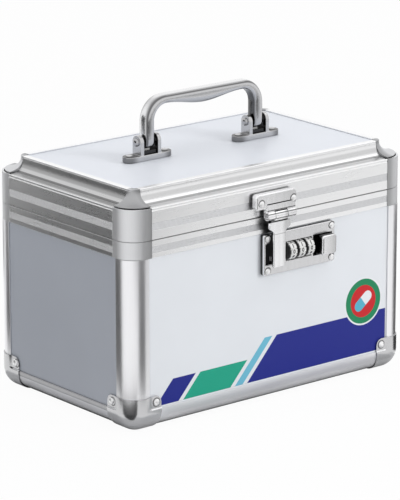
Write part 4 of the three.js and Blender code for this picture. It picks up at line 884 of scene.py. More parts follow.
def frame_section(inset, radius, leg_a, leg_b):
    """A quarter-round outside, two slots for the boards and an angle inside, as points of u and v."""
    skin = FRAME_INSET + FRAME_SKIN
    return np.concatenate([
        [[leg_a, inset], [leg_a, skin], [SLOT_START, skin], [SLOT_START, SLOT_INNER], [leg_a, SLOT_INNER]],
        [[leg_a, FRAME_INNER], [FRAME_INNER, FRAME_INNER], [FRAME_INNER, leg_b], [SLOT_INNER, leg_b]],
        [[SLOT_INNER, SLOT_START], [skin, SLOT_START], [skin, leg_b], [inset, leg_b]],
        arc((inset + radius, inset + radius), radius, 180, 270, ARC_STEPS),
    ])


def rib_points(foot, head):
    """Rounded ribs up the outer face, as points of depth and height."""
    height = np.linspace(foot, head, RIB_COUNT * RIB_STEPS + 1)
    share = (height - foot) / (head - foot) * RIB_COUNT
    depth = RIB_DEPTH * (0.5 - 0.5 * np.cos(2 * np.pi * share))
    return np.stack([depth, height], -1)


def rim_section():
    """A skin and an inner wall with a slot for the boards between them, and ribs up the face, as points of
    depth and height."""
    low, high = RIM_LOW[2], RIM_TOP_CORNER[2]
    skin = FRAME_INSET + FRAME_SKIN
    slot = low + RIM_SLOT_HEIGHT
    ribs = rib_points(low + RIM_STRIPE[0], low + RIM_STRIPE[1])[::-1]
    return np.concatenate([
        [[EDGE, low], [skin, low], [skin, slot], [SLOT_INNER, slot], [SLOT_INNER, low], [FRAME_INNER, low]],
        [[FRAME_INNER, high], [EDGE, high], [0, high - EDGE]],
        ribs,
        [[0, low + EDGE]],
    ])


def cove_points(u0, z0, u1, z1):
    """A hollow quarter curve that starts level and ends upright."""
    angle = np.radians(np.linspace(0, 90, COVE_STEPS + 1))
    return np.stack([u0 + (u1 - u0) * np.sin(angle), z0 + (z1 - z0) * (1 - np.cos(angle))], -1)


def flange_points():
    """The fine groove and lip under the top edge, the flange and the slot for the top board."""
    groove_foot, groove_low, groove_high = LIP_FOOT + LIP_HEIGHT * np.array(LIP_GROOVE_SHARES)
    return np.array([
        [LIP_INSET, groove_foot],
        [LIP_INSET + LIP_GROOVE, groove_low],
        [LIP_INSET + LIP_GROOVE, groove_high],
        [LIP_INSET, LIP_FOOT + LIP_HEIGHT],
        [LIP_INSET, TOP_HIGH - EDGE],
        [LIP_INSET + EDGE, TOP_HIGH],
        [FLANGE_INNER, TOP_HIGH],
        [FLANGE_INNER, TOP_HIGH - TOP_SKIN],
        [TOP_SLOT, TOP_HIGH - TOP_SKIN],
        [TOP_SLOT, PANEL_FOOT - GAP],
        [FLANGE_INNER, PANEL_FOOT - GAP],
    ])


def lid_section():
    """Ribs up the face, a bead, a small groove in the ledge, the cove, the flange and an inner wall that
    follows them, as points of depth and height."""
    low = LID_LOW[2]
    foot = BAND_TOP - BEAD_HEIGHT
    groove = BEAD_GROOVE
    return np.concatenate([
        [[BAND_WALL, low], [EDGE, low], [0, low + EDGE]],
        rib_points(low + LID_STRIPE[0], low + LID_STRIPE[1]),
        [[0, foot - groove], [groove, foot], [0, foot + groove], [0, BAND_TOP - groove], [groove, BAND_TOP]],
        [[2 * groove, BAND_TOP], [3 * groove, BAND_TOP - groove], [4 * groove, BAND_TOP]],
        cove_points(LEDGE_DEPTH, BAND_TOP + LEDGE_RISE, LIP_INSET, LIP_FOOT),
        flange_points(),
        cove_points(LEDGE_DEPTH, BAND_TOP - BAND_WALL, FLANGE_INNER, FLANGE_FOOT)[::-1],
        [[BAND_WALL, BAND_TOP - BAND_WALL]],
    ])[::-1]


SIDES = (
    ("front", 0.0, (0, -1), 0),
    ("right", math.pi / 2, (1, 0), 1),
    ("back", math.pi, (0, 1), 0),
    ("left", -math.pi / 2, (-1, 0), 1),
)
CORNERS = (
    ("front_left", -1, -1, 0.0),
    ("front_right", 1, -1, math.pi / 2),
    ("back_right", 1, 1, math.pi),
    ("back_left", -1, 1, -math.pi / 2),
)


def side_rails(suffix, section, leg, body, finishes, drop=0.0):
    """One rail on each side: a section of depth and height carried between two corner pieces."""
    for name, turn, outward, axis in SIDES:
        half = CASE_SIZE[axis] / 2 - leg - GAP
        node = f"{name}_{suffix}"
        mesh = prism(node + "_form", section + np.array([0, drop]), -half, half, 0)
        middle = CASE_MIDDLE + np.array(outward) * CASE_SIZE[1 - axis] / 2
        placed(mesh, turn, (middle[0], middle[1], 0))
        dress(node + "_form", mesh, body, finishes[axis], [node], RAIL_BEVEL)


def case_corners():
    """Each corner's name, its turn and the place of its outer edge."""
    for name, x_sign, y_sign, turn in CORNERS:
        x, y = CASE_MIDDLE + np.array([x_sign, y_sign]) * CASE_SIZE / 2
        yield name, turn, (x, y, 0)


def corner_pieces(prefix, make, body, finish):
    """One piece at each corner, made for the front left with the outer corner at the origin."""
    for name, turn, place in case_corners():
        node = f"{prefix}_{name}"
        mesh = placed(make(node + "_form"), turn, place)
        dress(node + "_form", mesh, body, finish, [node], CORNER_BEVEL)


def corner_prism(outline, low, high):
    """A maker of upright corner pieces with an outline in X and Y."""
    return lambda name: prism(name, outline, low, high, 2)


def lid_corner_outline():
    """Two quarter arcs about one centre, a wall's thickness apart, with straight ends."""
    inner = BAND_RADIUS - BAND_WALL
    return np.concatenate([
        [[BAND_LEG, 0], [BAND_LEG, BAND_WALL]],
        arc((BAND_RADIUS, BAND_RADIUS), inner, 270, 180, ARC_STEPS),
        [[BAND_WALL, BAND_LEG], [0, BAND_LEG]],
        arc((BAND_RADIUS, BAND_RADIUS), BAND_RADIUS, 180, 270, ARC_STEPS),
    ])


def cove_corner_mesh(name):
    """The cove's section turned a quarter about the inner end of the corner's legs."""
    foot = BAND_TOP + COVE_CORNER_GAP
    section = np.concatenate([
        [[COVE_CORNER_INSET, foot]],
        cove_points(COVE_CORNER_INSET, foot + COVE_CORNER_RIM, LIP_INSET, LIP_FOOT),
        flange_points(),
        cove_points(LEDGE_DEPTH, foot, FLANGE_INNER, FLANGE_FOOT)[::-1],
    ])
    section = held(section)
    angle = np.radians(np.linspace(180, 270, ARC_STEPS + 1))
    radius = BAND_LEG - section[:, 0]
    rings = np.zeros((len(angle), len(section), 3))
    rings[:, :, 0] = BAND_LEG + radius[None] * np.cos(angle)[:, None]
    rings[:, :, 1] = BAND_LEG + radius[None] * np.sin(angle)[:, None]
    rings[:, :, 2] = section[None, :, 1]
    return loft(name, rings)


# Corner caps

def cap_mesh(name):
    """A sheet bent round the corner, as a grid: columns run along one leg, round the corner and along the
    other leg, and rows run down the face, round the foot and inwards to the diagonal underneath. A leg's top
    is rounded at its free end, the free end draws in towards the foot, and the ear steps inwards above the
    step's height and past its start, by a smooth ramp."""
    reach = CAP_FACE + CAP_RADIUS
    share = np.concatenate([np.linspace(1, 0.62, 12), np.linspace(0.55, 0, 7)])
    turn = np.radians(np.linspace(90, 0, 17))[1:-1]
    upright = np.linspace(1, 0, 30)
    bend = np.radians(np.linspace(0, 90, 15))[1:]
    inward = np.linspace(0, 1, 6)[1:]
    rise = np.concatenate([upright, np.zeros(len(bend) + len(inward))])[:, None]
    sunk = np.concatenate([np.zeros(len(upright)), np.sin(bend), np.ones(len(inward))])[:, None] * CAP_RADIUS
    out = np.concatenate([np.ones(len(upright)), np.cos(bend), np.zeros(len(inward))])[:, None] * CAP_RADIUS
    under = np.concatenate([np.zeros(len(upright) + len(bend)), inward])[:, None]

    x_top = reach + (CAP_LEG - reach) * share
    past = np.maximum(0, x_top - (CAP_LEG - CAP_EAR_ROUND))
    top = CAP_TOP - CAP_EAR_ROUND + np.sqrt(np.maximum(0, CAP_EAR_ROUND ** 2 - past ** 2))
    top = top - CAP_CORNER_DROP * (1 - np.minimum(1, share / CAP_DROP_SHARE))
    z = reach + (top - reach) * rise - sunk
    draw_in = (CAP_LEG - CAP_FOOT_LEG) * np.clip(1 - z / CAP_STEP_HEIGHT, 0, 1) ** 1.5
    x = reach + (CAP_LEG - draw_in - reach) * share
    ramp = np.clip((z - CAP_STEP_HEIGHT + CAP_STEP_LEAD) / CAP_STEP_SPREAD, 0, 1)
    ramp = ramp * np.clip((x_top - CAP_STEP_START) / CAP_STEP_RUN, 0, 1)
    y = reach - out + (x[-1] - reach) * under + CAP_STEP * ramp * ramp * (3 - 2 * ramp)

    corner_z = reach + (CAP_TOP - CAP_CORNER_DROP - reach) * rise - sunk + np.zeros(len(turn))
    corner = np.stack([reach - out * np.sin(turn), reach - out * np.cos(turn), corner_z], -1)
    points = np.concatenate([np.stack([y, x, z], -1), corner, np.stack([x, y, z], -1)[:, ::-1]], 1)
    points[:, :, 2] -= CAP_FACE
    return tidy(mesh_from(name, points, grid_faces(*points.shape[:2], False)), 2e-5)


def corner_caps(finish, rivet_finish):
    """The four caps, each with a wall and the domes of its two rivets."""
    for name, turn, place in case_corners():
        node = f"corner_cap_{name}"
        sheet = placed(cap_mesh(node + "_sheet"), turn, place)
        cap = dress(node + "_sheet", sheet, "case", finish, [node], crease=60)
        wall = cap.modifiers.new("wall", "SOLIDIFY")
        wall.thickness = CAP_SHEET * MM
        wall.offset = -1
        bevelled(cap, CAP_BEVEL)
        heads = []
        along = CAP_LEG - CAP_RIVET_INSET
        for axis in (0, 1):
            centre = np.array([along, along, CAP_TOP - CAP_RIVET_INSET])
            centre[1 - axis] = CAP_FACE + CAP_STEP
            out = np.zeros(3)
            out[1 - axis] = -1
            heads.append(rivet_head("head", centre, out, CAP_RIVET_RADIUS, CAP_RIVET_RISE))
        heads = placed(joined(node + "_rivets", heads), turn, place)
        dress(node + "_rivets", heads, "case", rivet_finish)


# Hardware: plates with rounded rims

TURN_TO = {
    0: Matrix(((0, 0, 1, 0), (1, 0, 0, 0), (0, 1, 0, 0), (0, 0, 0, 1))),
    1: Matrix(((1, 0, 0, 0), (0, 0, -1, 0), (0, 1, 0, 0), (0, 0, 0, 1))),
    2: Matrix.Identity(4),
}


def mesh_from_curve(name, curve):
    """The mesh that Blender fills a flat curve or a text with."""
    holder = new_object(name, curve)
    bpy.context.view_layer.update()
    mesh = bpy.data.meshes.new_from_object(holder.evaluated_get(bpy.context.evaluated_depsgraph_get()))
    bpy.data.objects.remove(holder)
    bpy.data.curves.remove(curve)
    return mesh


def plate(name, outlines, low, high, axis, edge):
    """A plate with rounded rims: the first outline is its edge and the others are its holes.
    Axis 0 takes outlines in Y and Z and depths in X, axis 1 outlines in X and Z and depths towards
    -Y, and axis 2 outlines in X and Y and depths in Z."""
    curve = bpy.data.curves.new(name, "CURVE")
    curve.dimensions = "2D"
    curve.fill_mode = "BOTH"
    for points in outlines:
        points = np.asarray(points, float) * MM
        spline = curve.splines.new("POLY")
        spline.points.add(len(points) - 1)
        packed = np.zeros((len(points), 4), np.float32)
        packed[:, :2] = points
        packed[:, 3] = 1
        spline.points.foreach_set("co", packed.ravel())
        spline.use_cyclic_u = True
    curve.extrude = ((high - low) / 2 - edge) * MM
    curve.bevel_depth = edge * MM
    curve.bevel_resolution = 2
    curve.offset = -edge * MM
    mesh = mesh_from_curve(name, curve)
    mesh.transform(TURN_TO[axis] @ Matrix.Translation((0, 0, (low + high) / 2 * MM)))
    return hold_flats(tidy(mesh, 1e-6), axis)


def box_outline(x0, x1, y0, y1):
    """The four corners of a rectangle, in a row."""
    return [(x0, y0), (x1, y0), (x1, y1), (x0, y1)]


def barrel(name, radius, x0, x1, y, z):
    """A round rod along X with bevelled ends."""
    length = x1 - x0
    profile = [(0, 0), (radius - BARREL_EDGE, 0), (radius, BARREL_EDGE), (radius, length - BARREL_EDGE),
               (radius - BARREL_EDGE, length), (0, length)]
    return lathe(name, profile, (x0, y, z), (1, 0, 0))


def front_plates(name, parts):
    """Plates on the front face, joined: each part is outlines, two depths in front of the rim and an edge."""
    meshes = [plate(name, outlines, low, high, 1, edge) for outlines, low, high, edge in parts]
    mesh = joined(name, meshes)
    mesh.transform(Matrix.Translation((0, CASE_FRONT * MM, 0)))
    return mesh


def front_rivets(name, places, face, rise):
    """Rivet heads at places in X and Z, on a face these millimetres in front of the rim."""
    return joined(name, [
        rivet_head(name, (x, CASE_FRONT - face, z), (0, -1, 0), PLATE_RIVET_RADIUS, rise) for x, z in places])


# Lock

def lock_plate_mesh(name):
    """A rounded plate with windows for the dials and the button, and an opening for the staple that a
    channel joins to its upper edge."""
    corners = rounded_rectangle(LOCK_LEFT, LOCK_RIGHT, LOCK_FOOT, LOCK_HEAD, LOCK_CORNER, LOCK_CORNER_STEPS)
    right_side = 2 * (LOCK_CORNER_STEPS + 1)
    opening = [
        (CHANNEL_RIGHT, LOCK_HEAD),
        (CHANNEL_RIGHT, OPENING_TOP),
        (OPENING_RIGHT, OPENING_TOP),
        (OPENING_RIGHT, OPENING_FOOT),
        (OPENING_LEFT, OPENING_FOOT),
        (OPENING_LEFT, OPENING_SHOULDER_HEIGHT),
        (OPENING_SHOULDER, OPENING_SHOULDER_HEIGHT),
        (OPENING_SHOULDER, OPENING_TOP),
        (CHANNEL_LEFT, OPENING_TOP),
        (CHANNEL_LEFT, LOCK_HEAD),
    ]
    outer = np.concatenate([corners[:right_side], opening, corners[right_side:]])
    windows = [box_outline(*DIAL_WINDOW), box_outline(*BUTTON_WINDOW)]
    return front_plates(name, [([outer] + windows, LOCK_BACK, LOCK_FACE, LOCK_EDGE)])


def lock_backing_mesh(name):
    """A thin dark sheet behind the plate, open behind the dials: painted shade in the plate's other openings.
    """
    sheet = box_outline(LOCK_LEFT + SHADE_SHEET_INSET, LOCK_RIGHT - SHADE_SHEET_INSET,
                        LOCK_FOOT + SHADE_SHEET_INSET, LOCK_HEAD - SHADE_SHEET_INSET)
    window = box_outline(*DIAL_WINDOW)
    return front_plates(name, [([sheet, window], SHADE_SHEET_BACK, SHADE_SHEET_FACE, SHADE_SHEET_EDGE)])


def dial_mesh(name, start):
    """A wheel of ten flats with notches between them, its rims rounded: an outline of angle and radius
    shrunk at both rims and closed through the bore."""
    flat = DIAL_FLAT_SHARE / 2
    groove = DIAL_GROOVE_SHARE / 2
    notch = DIAL_RADIUS - DIAL_NOTCH
    share = np.arange(DIAL_NUMBERS)[:, None] + np.array([-flat, flat, 0.5 - groove, 0.5 + groove])
    angle = share.ravel() * DIAL_STEP
    circle = np.stack([np.cos(angle), np.sin(angle)], -1)
    radius = np.tile([DIAL_RADIUS, DIAL_RADIUS, notch, notch], DIAL_NUMBERS)
    rim = [(0, DIAL_RIM), (DIAL_RIM_FACET, DIAL_RIM_FACET), (DIAL_RIM, 0)]
    rim += [(DIAL_WIDTH - x, shrink) for x, shrink in rim[::-1]]
    rows = [(x, circle * (radius - shrink)[:, None]) for x, shrink in rim]
    rows += [(DIAL_WIDTH, circle * DIAL_BORE), (0, circle * DIAL_BORE), rows[0]]
    rings = np.zeros((len(rows), len(circle), 3))
    rings[:, :, 0] = start + np.array([x for x, ring in rows])[:, None]
    rings[:, :, 1:] = np.array([ring for x, ring in rows])
    rings += np.array([0, CASE_FRONT - DIAL_AXIS_PROUD, DIAL_AXIS_HEIGHT])
    return loft(name, rings, capped=False)


def number_mesh(name, digit):
    """A number as a closed mesh, centred on its own origin."""
    curve = bpy.data.curves.new(name, "FONT")
    curve.body = str(digit)
    curve.size = NUMBER_SIZE * MM
    curve.extrude = NUMBER_DEPTH * MM
    curve.align_x = "CENTER"
    curve.align_y = "CENTER"
    curve.resolution_u = 3
    curve.offset = NUMBER_WEIGHT_SHARE * NUMBER_SIZE * MM
    return mesh_from_curve(name, curve)


def dial_numbers(name, start):
    """The numbers 0 to 9 round the dial, one on each flat, upright when their flat is at the front."""
    axis = Vector((start + DIAL_WIDTH / 2, CASE_FRONT - DIAL_AXIS_PROUD, DIAL_AXIS_HEIGHT))
    reach = DIAL_RADIUS * math.cos(DIAL_FLAT_SHARE / 2 * DIAL_STEP)
    numbers = []
    for i in range(DIAL_NUMBERS):
        mesh = number_mesh(name, (DIAL_NUMBERS // 2 - i) % DIAL_NUMBERS)
        out = Vector((0, math.cos(i * DIAL_STEP), math.sin(i * DIAL_STEP)))
        up = Vector((0, math.sin(i * DIAL_STEP), -math.cos(i * DIAL_STEP)))
        turn = Matrix((Vector((1, 0, 0)), up, out)).transposed().to_4x4()
        mesh.transform(Matrix.Translation((axis + out * reach) * MM) @ turn)
        numbers.append(mesh)
    return tidy(joined(name, numbers))


def slide_bolt_mesh(name):
    """The button, the strip below the dials with its neck, the upright at its left end and the tongue."""
    button = rounded_rectangle(BUTTON_LEFT, BUTTON_RIGHT, BUTTON_FOOT, BUTTON_TOP, BUTTON_CORNER)
    strip = box_outline(BOLT_LEFT, BUTTON_RIGHT, BOLT_FOOT, BOLT_TOP)
    neck = box_outline(BUTTON_LEFT, BUTTON_RIGHT, BOLT_FOOT, BOLT_NECK_TOP)
    upright = box_outline(BOLT_LEFT, TONGUE_RIGHT, BOLT_FOOT, TONGUE_TOP)
    tongue = box_outline(TONGUE_LEFT, TONGUE_RIGHT, TONGUE_FOOT, TONGUE_TOP)
    return front_plates(name, [
        ([button], BOLT_BACK, BUTTON_FACE, BUTTON_EDGE),
        ([strip], BOLT_BACK, BOLT_FACE, BOLT_EDGE),
        ([neck], BOLT_BACK, BOLT_FACE, BOLT_EDGE),
        ([upright], BOLT_BACK, BOLT_FACE, BOLT_EDGE),
        ([tongue], TONGUE_BACK, BOLT_FACE, BOLT_EDGE),
    ])


# Hasp

def hasp_barrel(name, left, right):
    """A round rod along the hasp's axis."""
    return barrel(name, HASP_RADIUS, left, right, CASE_FRONT - HASP_AXIS_PROUD, HASP_AXIS_HEIGHT)


def hasp_plate_mesh(name):
    """A thick rounded plate, its forked neck and a barrel at each side of the arm's knuckle."""
    face = rounded_rectangle(*HASP_PLATE, HASP_PLATE_CORNER)
    left = KNUCKLE_LEFT - KNUCKLE_GAP
    right = KNUCKLE_RIGHT + KNUCKLE_GAP
    neck = [
        (BARREL_LEFT, HASP_AXIS_HEIGHT),
        (left, HASP_AXIS_HEIGHT),
        (left, NECK_FOOT),
        (right, NECK_FOOT),
        (right, HASP_AXIS_HEIGHT),
        (BARREL_RIGHT, HASP_AXIS_HEIGHT),
        (BARREL_RIGHT, NECK_TOP),
        (BARREL_LEFT, NECK_TOP),
    ]
    plates = front_plates(name, [
        ([face], HASP_PLATE_BACK, HASP_PLATE_FACE, HASP_PLATE_EDGE),
        ([neck], NECK_BACK, HASP_FACE, NECK_EDGE),
    ])
    barrels = [hasp_barrel(name, BARREL_LEFT, left), hasp_barrel(name, right, BARREL_RIGHT)]
    return joined(name, [plates] + barrels)


def hasp_arm_mesh(name):
    """The arm, its tab and knuckle, and the staple with its eye. The arm widens to its head by half a
    cosine wave."""
    share = np.linspace(0, 1, 9)
    swell = 0.5 - 0.5 * np.cos(np.pi * share ** ARM_WAIST_POWER)
    half = ARM_HALF + (ARM_HEAD_HALF - ARM_HALF) * swell
    rise = ARM_WAIST_FOOT + ARM_WAIST_RISE * share
    corner = ARM_HALF - ARM_CORNER
    right = np.concatenate([
        arc((corner, ARM_FOOT + ARM_CORNER), ARM_CORNER, 270, 360, 4),
        np.stack([half, rise], -1),
        [(ARM_HEAD_HALF, ARM_HEAD_TOP), (ARM_STRIP_HALF, ARM_HEAD_TOP), (ARM_STRIP_HALF, ARM_TOP)],
    ])
    leaf = np.concatenate([right, right[::-1] * (-1, 1)]) + (ARM_CENTRE, 0)
    tab = box_outline(KNUCKLE_LEFT, KNUCKLE_RIGHT, ARM_HEAD_TOP, HASP_AXIS_HEIGHT)
    plates = front_plates(name, [
        ([leaf], ARM_BACK, HASP_FACE, ARM_EDGE),
        ([tab], ARM_BACK, HASP_FACE, TAB_EDGE),
    ])
    block = box_outline(CASE_FRONT - STAPLE_PROUD, CASE_FRONT + STAPLE_REACH, STAPLE_FOOT, STAPLE_TOP)
    eye = box_outline(CASE_FRONT - EYE_PROUD, CASE_FRONT + EYE_REACH, EYE_FOOT, EYE_TOP)
    staple = plate(name, [block, eye], STAPLE_LEFT, STAPLE_RIGHT, 0, STAPLE_EDGE)
    return joined(name, [plates, hasp_barrel(name, KNUCKLE_LEFT, KNUCKLE_RIGHT), staple])


# Handle and its brackets

def columns(count, *values):
    """Numbers, or arrays of them, side by side as columns with a count of rows."""
    return np.stack([np.broadcast_to(value, count) for value in values], -1)


def handle_mesh(name):
    """A squarish oval carried up a leg, round a bend and along the bar to its middle, then mirrored.
    The bar's inner side swells towards its middle by half a cosine wave, and the leg's foot is round."""
    tuck = np.radians(np.linspace(HANDLE_TUCK, 0, 9))[:-1]
    leg = np.linspace(0, 1, 6)
    bend = np.linspace(0, 1, 17)[1:]
    bar = np.linspace(0, 1, 25)[1:]
    turned = bend * np.pi / 2
    # The path's columns are X, Z, turn, width, depth and belly
    path = np.concatenate([
        columns(len(tuck), -HANDLE_HALF_SPAN, HANDLE_PIVOT - HANDLE_DEPTH / 2 * np.sin(tuck), 0,
                HANDLE_LEG, HANDLE_DEPTH * np.cos(tuck), 0),
        columns(len(leg), -HANDLE_HALF_SPAN, HANDLE_PIVOT + (BEND_FOOT - HANDLE_PIVOT) * leg, 0,
                HANDLE_LEG, HANDLE_DEPTH, 0),
        columns(len(bend), -BAR_STRAIGHT - HANDLE_BEND * np.cos(turned),
                BEND_FOOT + HANDLE_BEND * np.sin(turned), turned,
                HANDLE_LEG + (HANDLE_BAR - HANDLE_LEG) * bend, HANDLE_DEPTH, 0),
        columns(len(bar), -BAR_STRAIGHT * (1 - bar), BAR_HEIGHT, np.pi / 2,
                HANDLE_BAR, HANDLE_DEPTH, HANDLE_BELLY * (1 - np.cos(np.pi * bar)) / 2),
    ])
    x, z, turn, width, depth, belly = path.T[:, :, None]
    angle = np.linspace(0, 2 * np.pi, HANDLE_SIDES, endpoint=False)
    power = 2 / HANDLE_ROUNDNESS
    across = np.sign(np.cos(angle)) * np.abs(np.cos(angle)) ** power
    along = np.sign(np.sin(angle)) * np.abs(np.sin(angle)) ** power
    inwards = across * (width / 2 + (across > 0) * belly)
    half = np.stack([
        x + inwards * np.cos(turn),
        LID_MIDDLE + along * depth / 2,
        z - inwards * np.sin(turn),
    ], -1)
    return loft(name, np.concatenate([half, half[:-1][::-1] * (-1, 1, 1)]))


def bracket_mesh(name, middle):
    """A base with rounded ends, a saddle, two ears with round heads and two low screw heads."""
    base = rounded_rectangle(middle - BRACKET_HALF, middle + BRACKET_HALF, LID_MIDDLE - BRACKET_HALF_DEPTH,
                             LID_MIDDLE + BRACKET_HALF_DEPTH, BRACKET_CORNER, 10)
    saddle = box_outline(middle - SADDLE_HALF, middle + SADDLE_HALF,
                         LID_MIDDLE - SADDLE_HALF_DEPTH, LID_MIDDLE + SADDLE_HALF_DEPTH)
    ear = np.concatenate([
        [(LID_MIDDLE - EAR_HALF_DEPTH, EAR_FOOT), (LID_MIDDLE + EAR_HALF_DEPTH, EAR_FOOT)],
        arc((LID_MIDDLE, HANDLE_PIVOT), EAR_HALF_DEPTH, 0, 180, ARC_STEPS),
    ])
    meshes = [
        plate(name, [base], PANEL_TOP + GAP, BRACKET_TOP, 2, BRACKET_EDGE),
        plate(name, [saddle], SADDLE_FOOT, SADDLE_TOP, 2, SADDLE_EDGE),
    ]
    for low, high in ((-EAR_OUTER, -EAR_INNER), (EAR_INNER, EAR_OUTER)):
        meshes.append(plate(name, [ear], middle + low, middle + high, 0, EAR_EDGE))
    for side in (-SCREW_OFFSET, SCREW_OFFSET):
        centre = (middle + side, LID_MIDDLE, BRACKET_TOP)
        meshes.append(rivet_head(name, centre, (0, 0, 1), SCREW_RADIUS, SCREW_RISE))
    return joined(name, meshes)


def handle_pin_mesh(name, middle):
    """A rod along X with a domed head at each end."""
    meshes = [barrel(name, PIN_RADIUS, middle - PIN_HALF, middle + PIN_HALF, LID_MIDDLE, HANDLE_PIVOT)]
    for side in (-1, 1):
        centre = (middle + side * PIN_HALF, LID_MIDDLE, HANDLE_PIVOT)
        meshes.append(rivet_head(name, centre, (side, 0, 0), PIN_HEAD_RADIUS, PIN_HEAD_RISE))
    return joined(name, meshes)


# Rear hinges

def hinge_leaf_mesh(name, middle, upper):
    """A leaf on the back face with its knuckles and two rivets. The upper leaf has one knuckle in the
    middle, and the lower leaf has one at each side."""
    inner = HINGE_KNUCKLE + HINGE_GAP
    if upper:
        outline = [
            (-HINGE_KNUCKLE, 0),
            (HINGE_KNUCKLE, 0),
            (HINGE_KNUCKLE, LEAF_CLEARANCE),
            (HINGE_HALF, LEAF_CLEARANCE),
            (HINGE_HALF, UPPER_LEAF),
            (-HINGE_HALF, UPPER_LEAF),
            (-HINGE_HALF, LEAF_CLEARANCE),
            (-HINGE_KNUCKLE, LEAF_CLEARANCE),
        ]
        spans = [(-HINGE_KNUCKLE, HINGE_KNUCKLE)]
        rivet_height = SEAM + UPPER_RIVET
    else:
        outline = [
            (-HINGE_HALF, -LOWER_LEAF),
            (HINGE_HALF, -LOWER_LEAF),
            (HINGE_HALF, 0),
            (inner, 0),
            (inner, -LEAF_CLEARANCE),
            (-inner, -LEAF_CLEARANCE),
            (-inner, 0),
            (-HINGE_HALF, 0),
        ]
        spans = [(-HINGE_HALF, -inner), (inner, HINGE_HALF)]
        rivet_height = SEAM - LOWER_RIVET
    leaf = plate(name, [np.array(outline) + (middle, SEAM)], -LEAF_FACE, -LEAF_BACK, 1, LEAF_EDGE)
    leaf.transform(Matrix.Translation((0, CASE_BACK * MM, 0)))
    meshes = [leaf]
    for x0, x1 in spans:
        meshes.append(barrel(name, HINGE_RADIUS, middle + x0, middle + x1, CASE_BACK + HINGE_AXIS, SEAM))
    for side in (-LEAF_RIVET_OFFSET, LEAF_RIVET_OFFSET):
        centre = (middle + side, CASE_BACK + LEAF_FACE, rivet_height)
        meshes.append(rivet_head(name, centre, (0, 1, 0), LEAF_RIVET_RADIUS, LEAF_RIVET_RISE))
    return joined(name, meshes)


# Make and dress the frame

post_finish = metal("satin_aluminium_upright", ALUMINIUM, 0.3, "Z")
rail_finishes = (
    rail_metal("satin_aluminium_lengthwise", "X"),
    rail_metal("satin_aluminium_crosswise", "Y"),
)
band_finishes = (
    band_metal("ribbed_aluminium_lengthwise", "X", LENGTHWISE_RIB_SHADE, LENGTHWISE_SHADE_SHARES),
    band_metal("ribbed_aluminium_crosswise", "Y", CROSSWISE_RIB_SHADE, CROSSWISE_SHADE_SHARES),
)
casting_finish = casting_metal("satin_grey_casting")
rail_outline = frame_section(FRAME_INSET, FRAME_RADIUS, FRAME_LEG, RAIL_LEG)
post_outline = frame_section(FRAME_INSET, FRAME_RADIUS, FRAME_LEG, FRAME_LEG)
rim_outline = frame_section(0, BAND_RADIUS, BAND_LEG, BAND_LEG)
side_rails("bottom_rail", rail_outline, FRAME_LEG, "case", rail_finishes, RAIL_DROP)
side_rails("rim_rail", rim_section(), BAND_LEG, "case", band_finishes)
side_rails("lid_rail", lid_section(), BAND_LEG, "lid", band_finishes)
corner_pieces("corner_post", corner_prism(post_outline, POST_LOW[2], POST_HIGH[2]),
              "case", post_finish)
corner_pieces("rim_corner", corner_prism(rim_outline, RIM_LOW[2], RIM_TOP_CORNER[2]),
              "case", casting_finish)
corner_pieces("lid_corner", corner_prism(lid_corner_outline(), LID_LOW[2], BAND_TOP),
              "lid", casting_finish)
corner_pieces("cove_corner", cove_corner_mesh, "lid", casting_finish)
corner_caps(cap_metal("plated_cap_sheet"), metal("cap_rivet_metal", RIM_LIGHT, 0.35, "none", 0.5, 0.003, 0.1))

# Make and dress the hardware

chrome_finish = metal("bright_plated_zinc", CHROME, 0.13, "none", 0.7, 0.002, 0.07)
steel_finish = metal("plated_steel", STEEL, 0.33, "X", 0.4, 0.004)
plate_finish = lock_metal(
    "lock_plate_metal", PLATE_CHROME, LOCK_FACE, rim=1.2, foot=0.6, head=1.4, rivets=LOCK_RIVETS)
dial_finish = dial_plastic()
black_and_shade_finish = dark_insert()


def dress_form(node, make, body, slot, finish, *places):
    """The piece that stands for a CAD node, made from its name and any places."""
    name = node + "_form"
    dress(name, make(name, *places), body, finish, [node])


dress_form("lock_plate", lock_plate_mesh, "case", "lock_chrome", plate_finish)
dress("lock_plate_rivets", front_rivets("lock_plate_rivets", LOCK_RIVETS, LOCK_FACE, LOCK_RIVET_RISE),
      "case", rivet_metal("lock_rivet_metal", LOCK_FACE))
# A dark sheet that stands for the shade inside the lock's openings: painted shade
dress("lock_shade_sheet", lock_backing_mesh("lock_shade_sheet"), "case", black_and_shade_finish)
for index, start in enumerate(DIAL_STARTS, 1):
    node = f"dial_{index}"
    wheel = dial_mesh(node + "_wheel", start)
    dress(node + "_wheel", wheel, node, dial_finish, [node], crease=28)
    dress(node + "_numbers", dial_numbers(node + "_numbers", start), node, black_and_shade_finish)
dress_form("slide_bolt", slide_bolt_mesh, "bolt", "lock_chrome", slide_bolt_metal())
dress_form("hasp_plate", hasp_plate_mesh, "lid", "lock_chrome", hasp_plate_metal())
dress("hasp_plate_rivets", front_rivets("hasp_plate_rivets", HASP_RIVETS, HASP_PLATE_FACE, HASP_RIVET_RISE),
      "lid", rivet_metal("hasp_rivet_metal", HASP_PLATE_FACE))
dress_form("hasp_arm", hasp_arm_mesh, "hasp", "lock_chrome", hasp_arm_metal())
dress_form("handle", handle_mesh, "handle", "handle_nickel", handle_metal())
for side, middle in (("left", -HANDLE_HALF_SPAN), ("right", HANDLE_HALF_SPAN)):
    nickel = bracket_metal(f"bracket_nickel_{side}", middle)
    dress_form(f"handle_bracket_{side}", bracket_mesh, "lid", "handle_nickel", nickel, middle)
    dress_form(f"handle_pin_{side}", handle_pin_mesh, "lid", "handle_nickel", chrome_finish, middle)
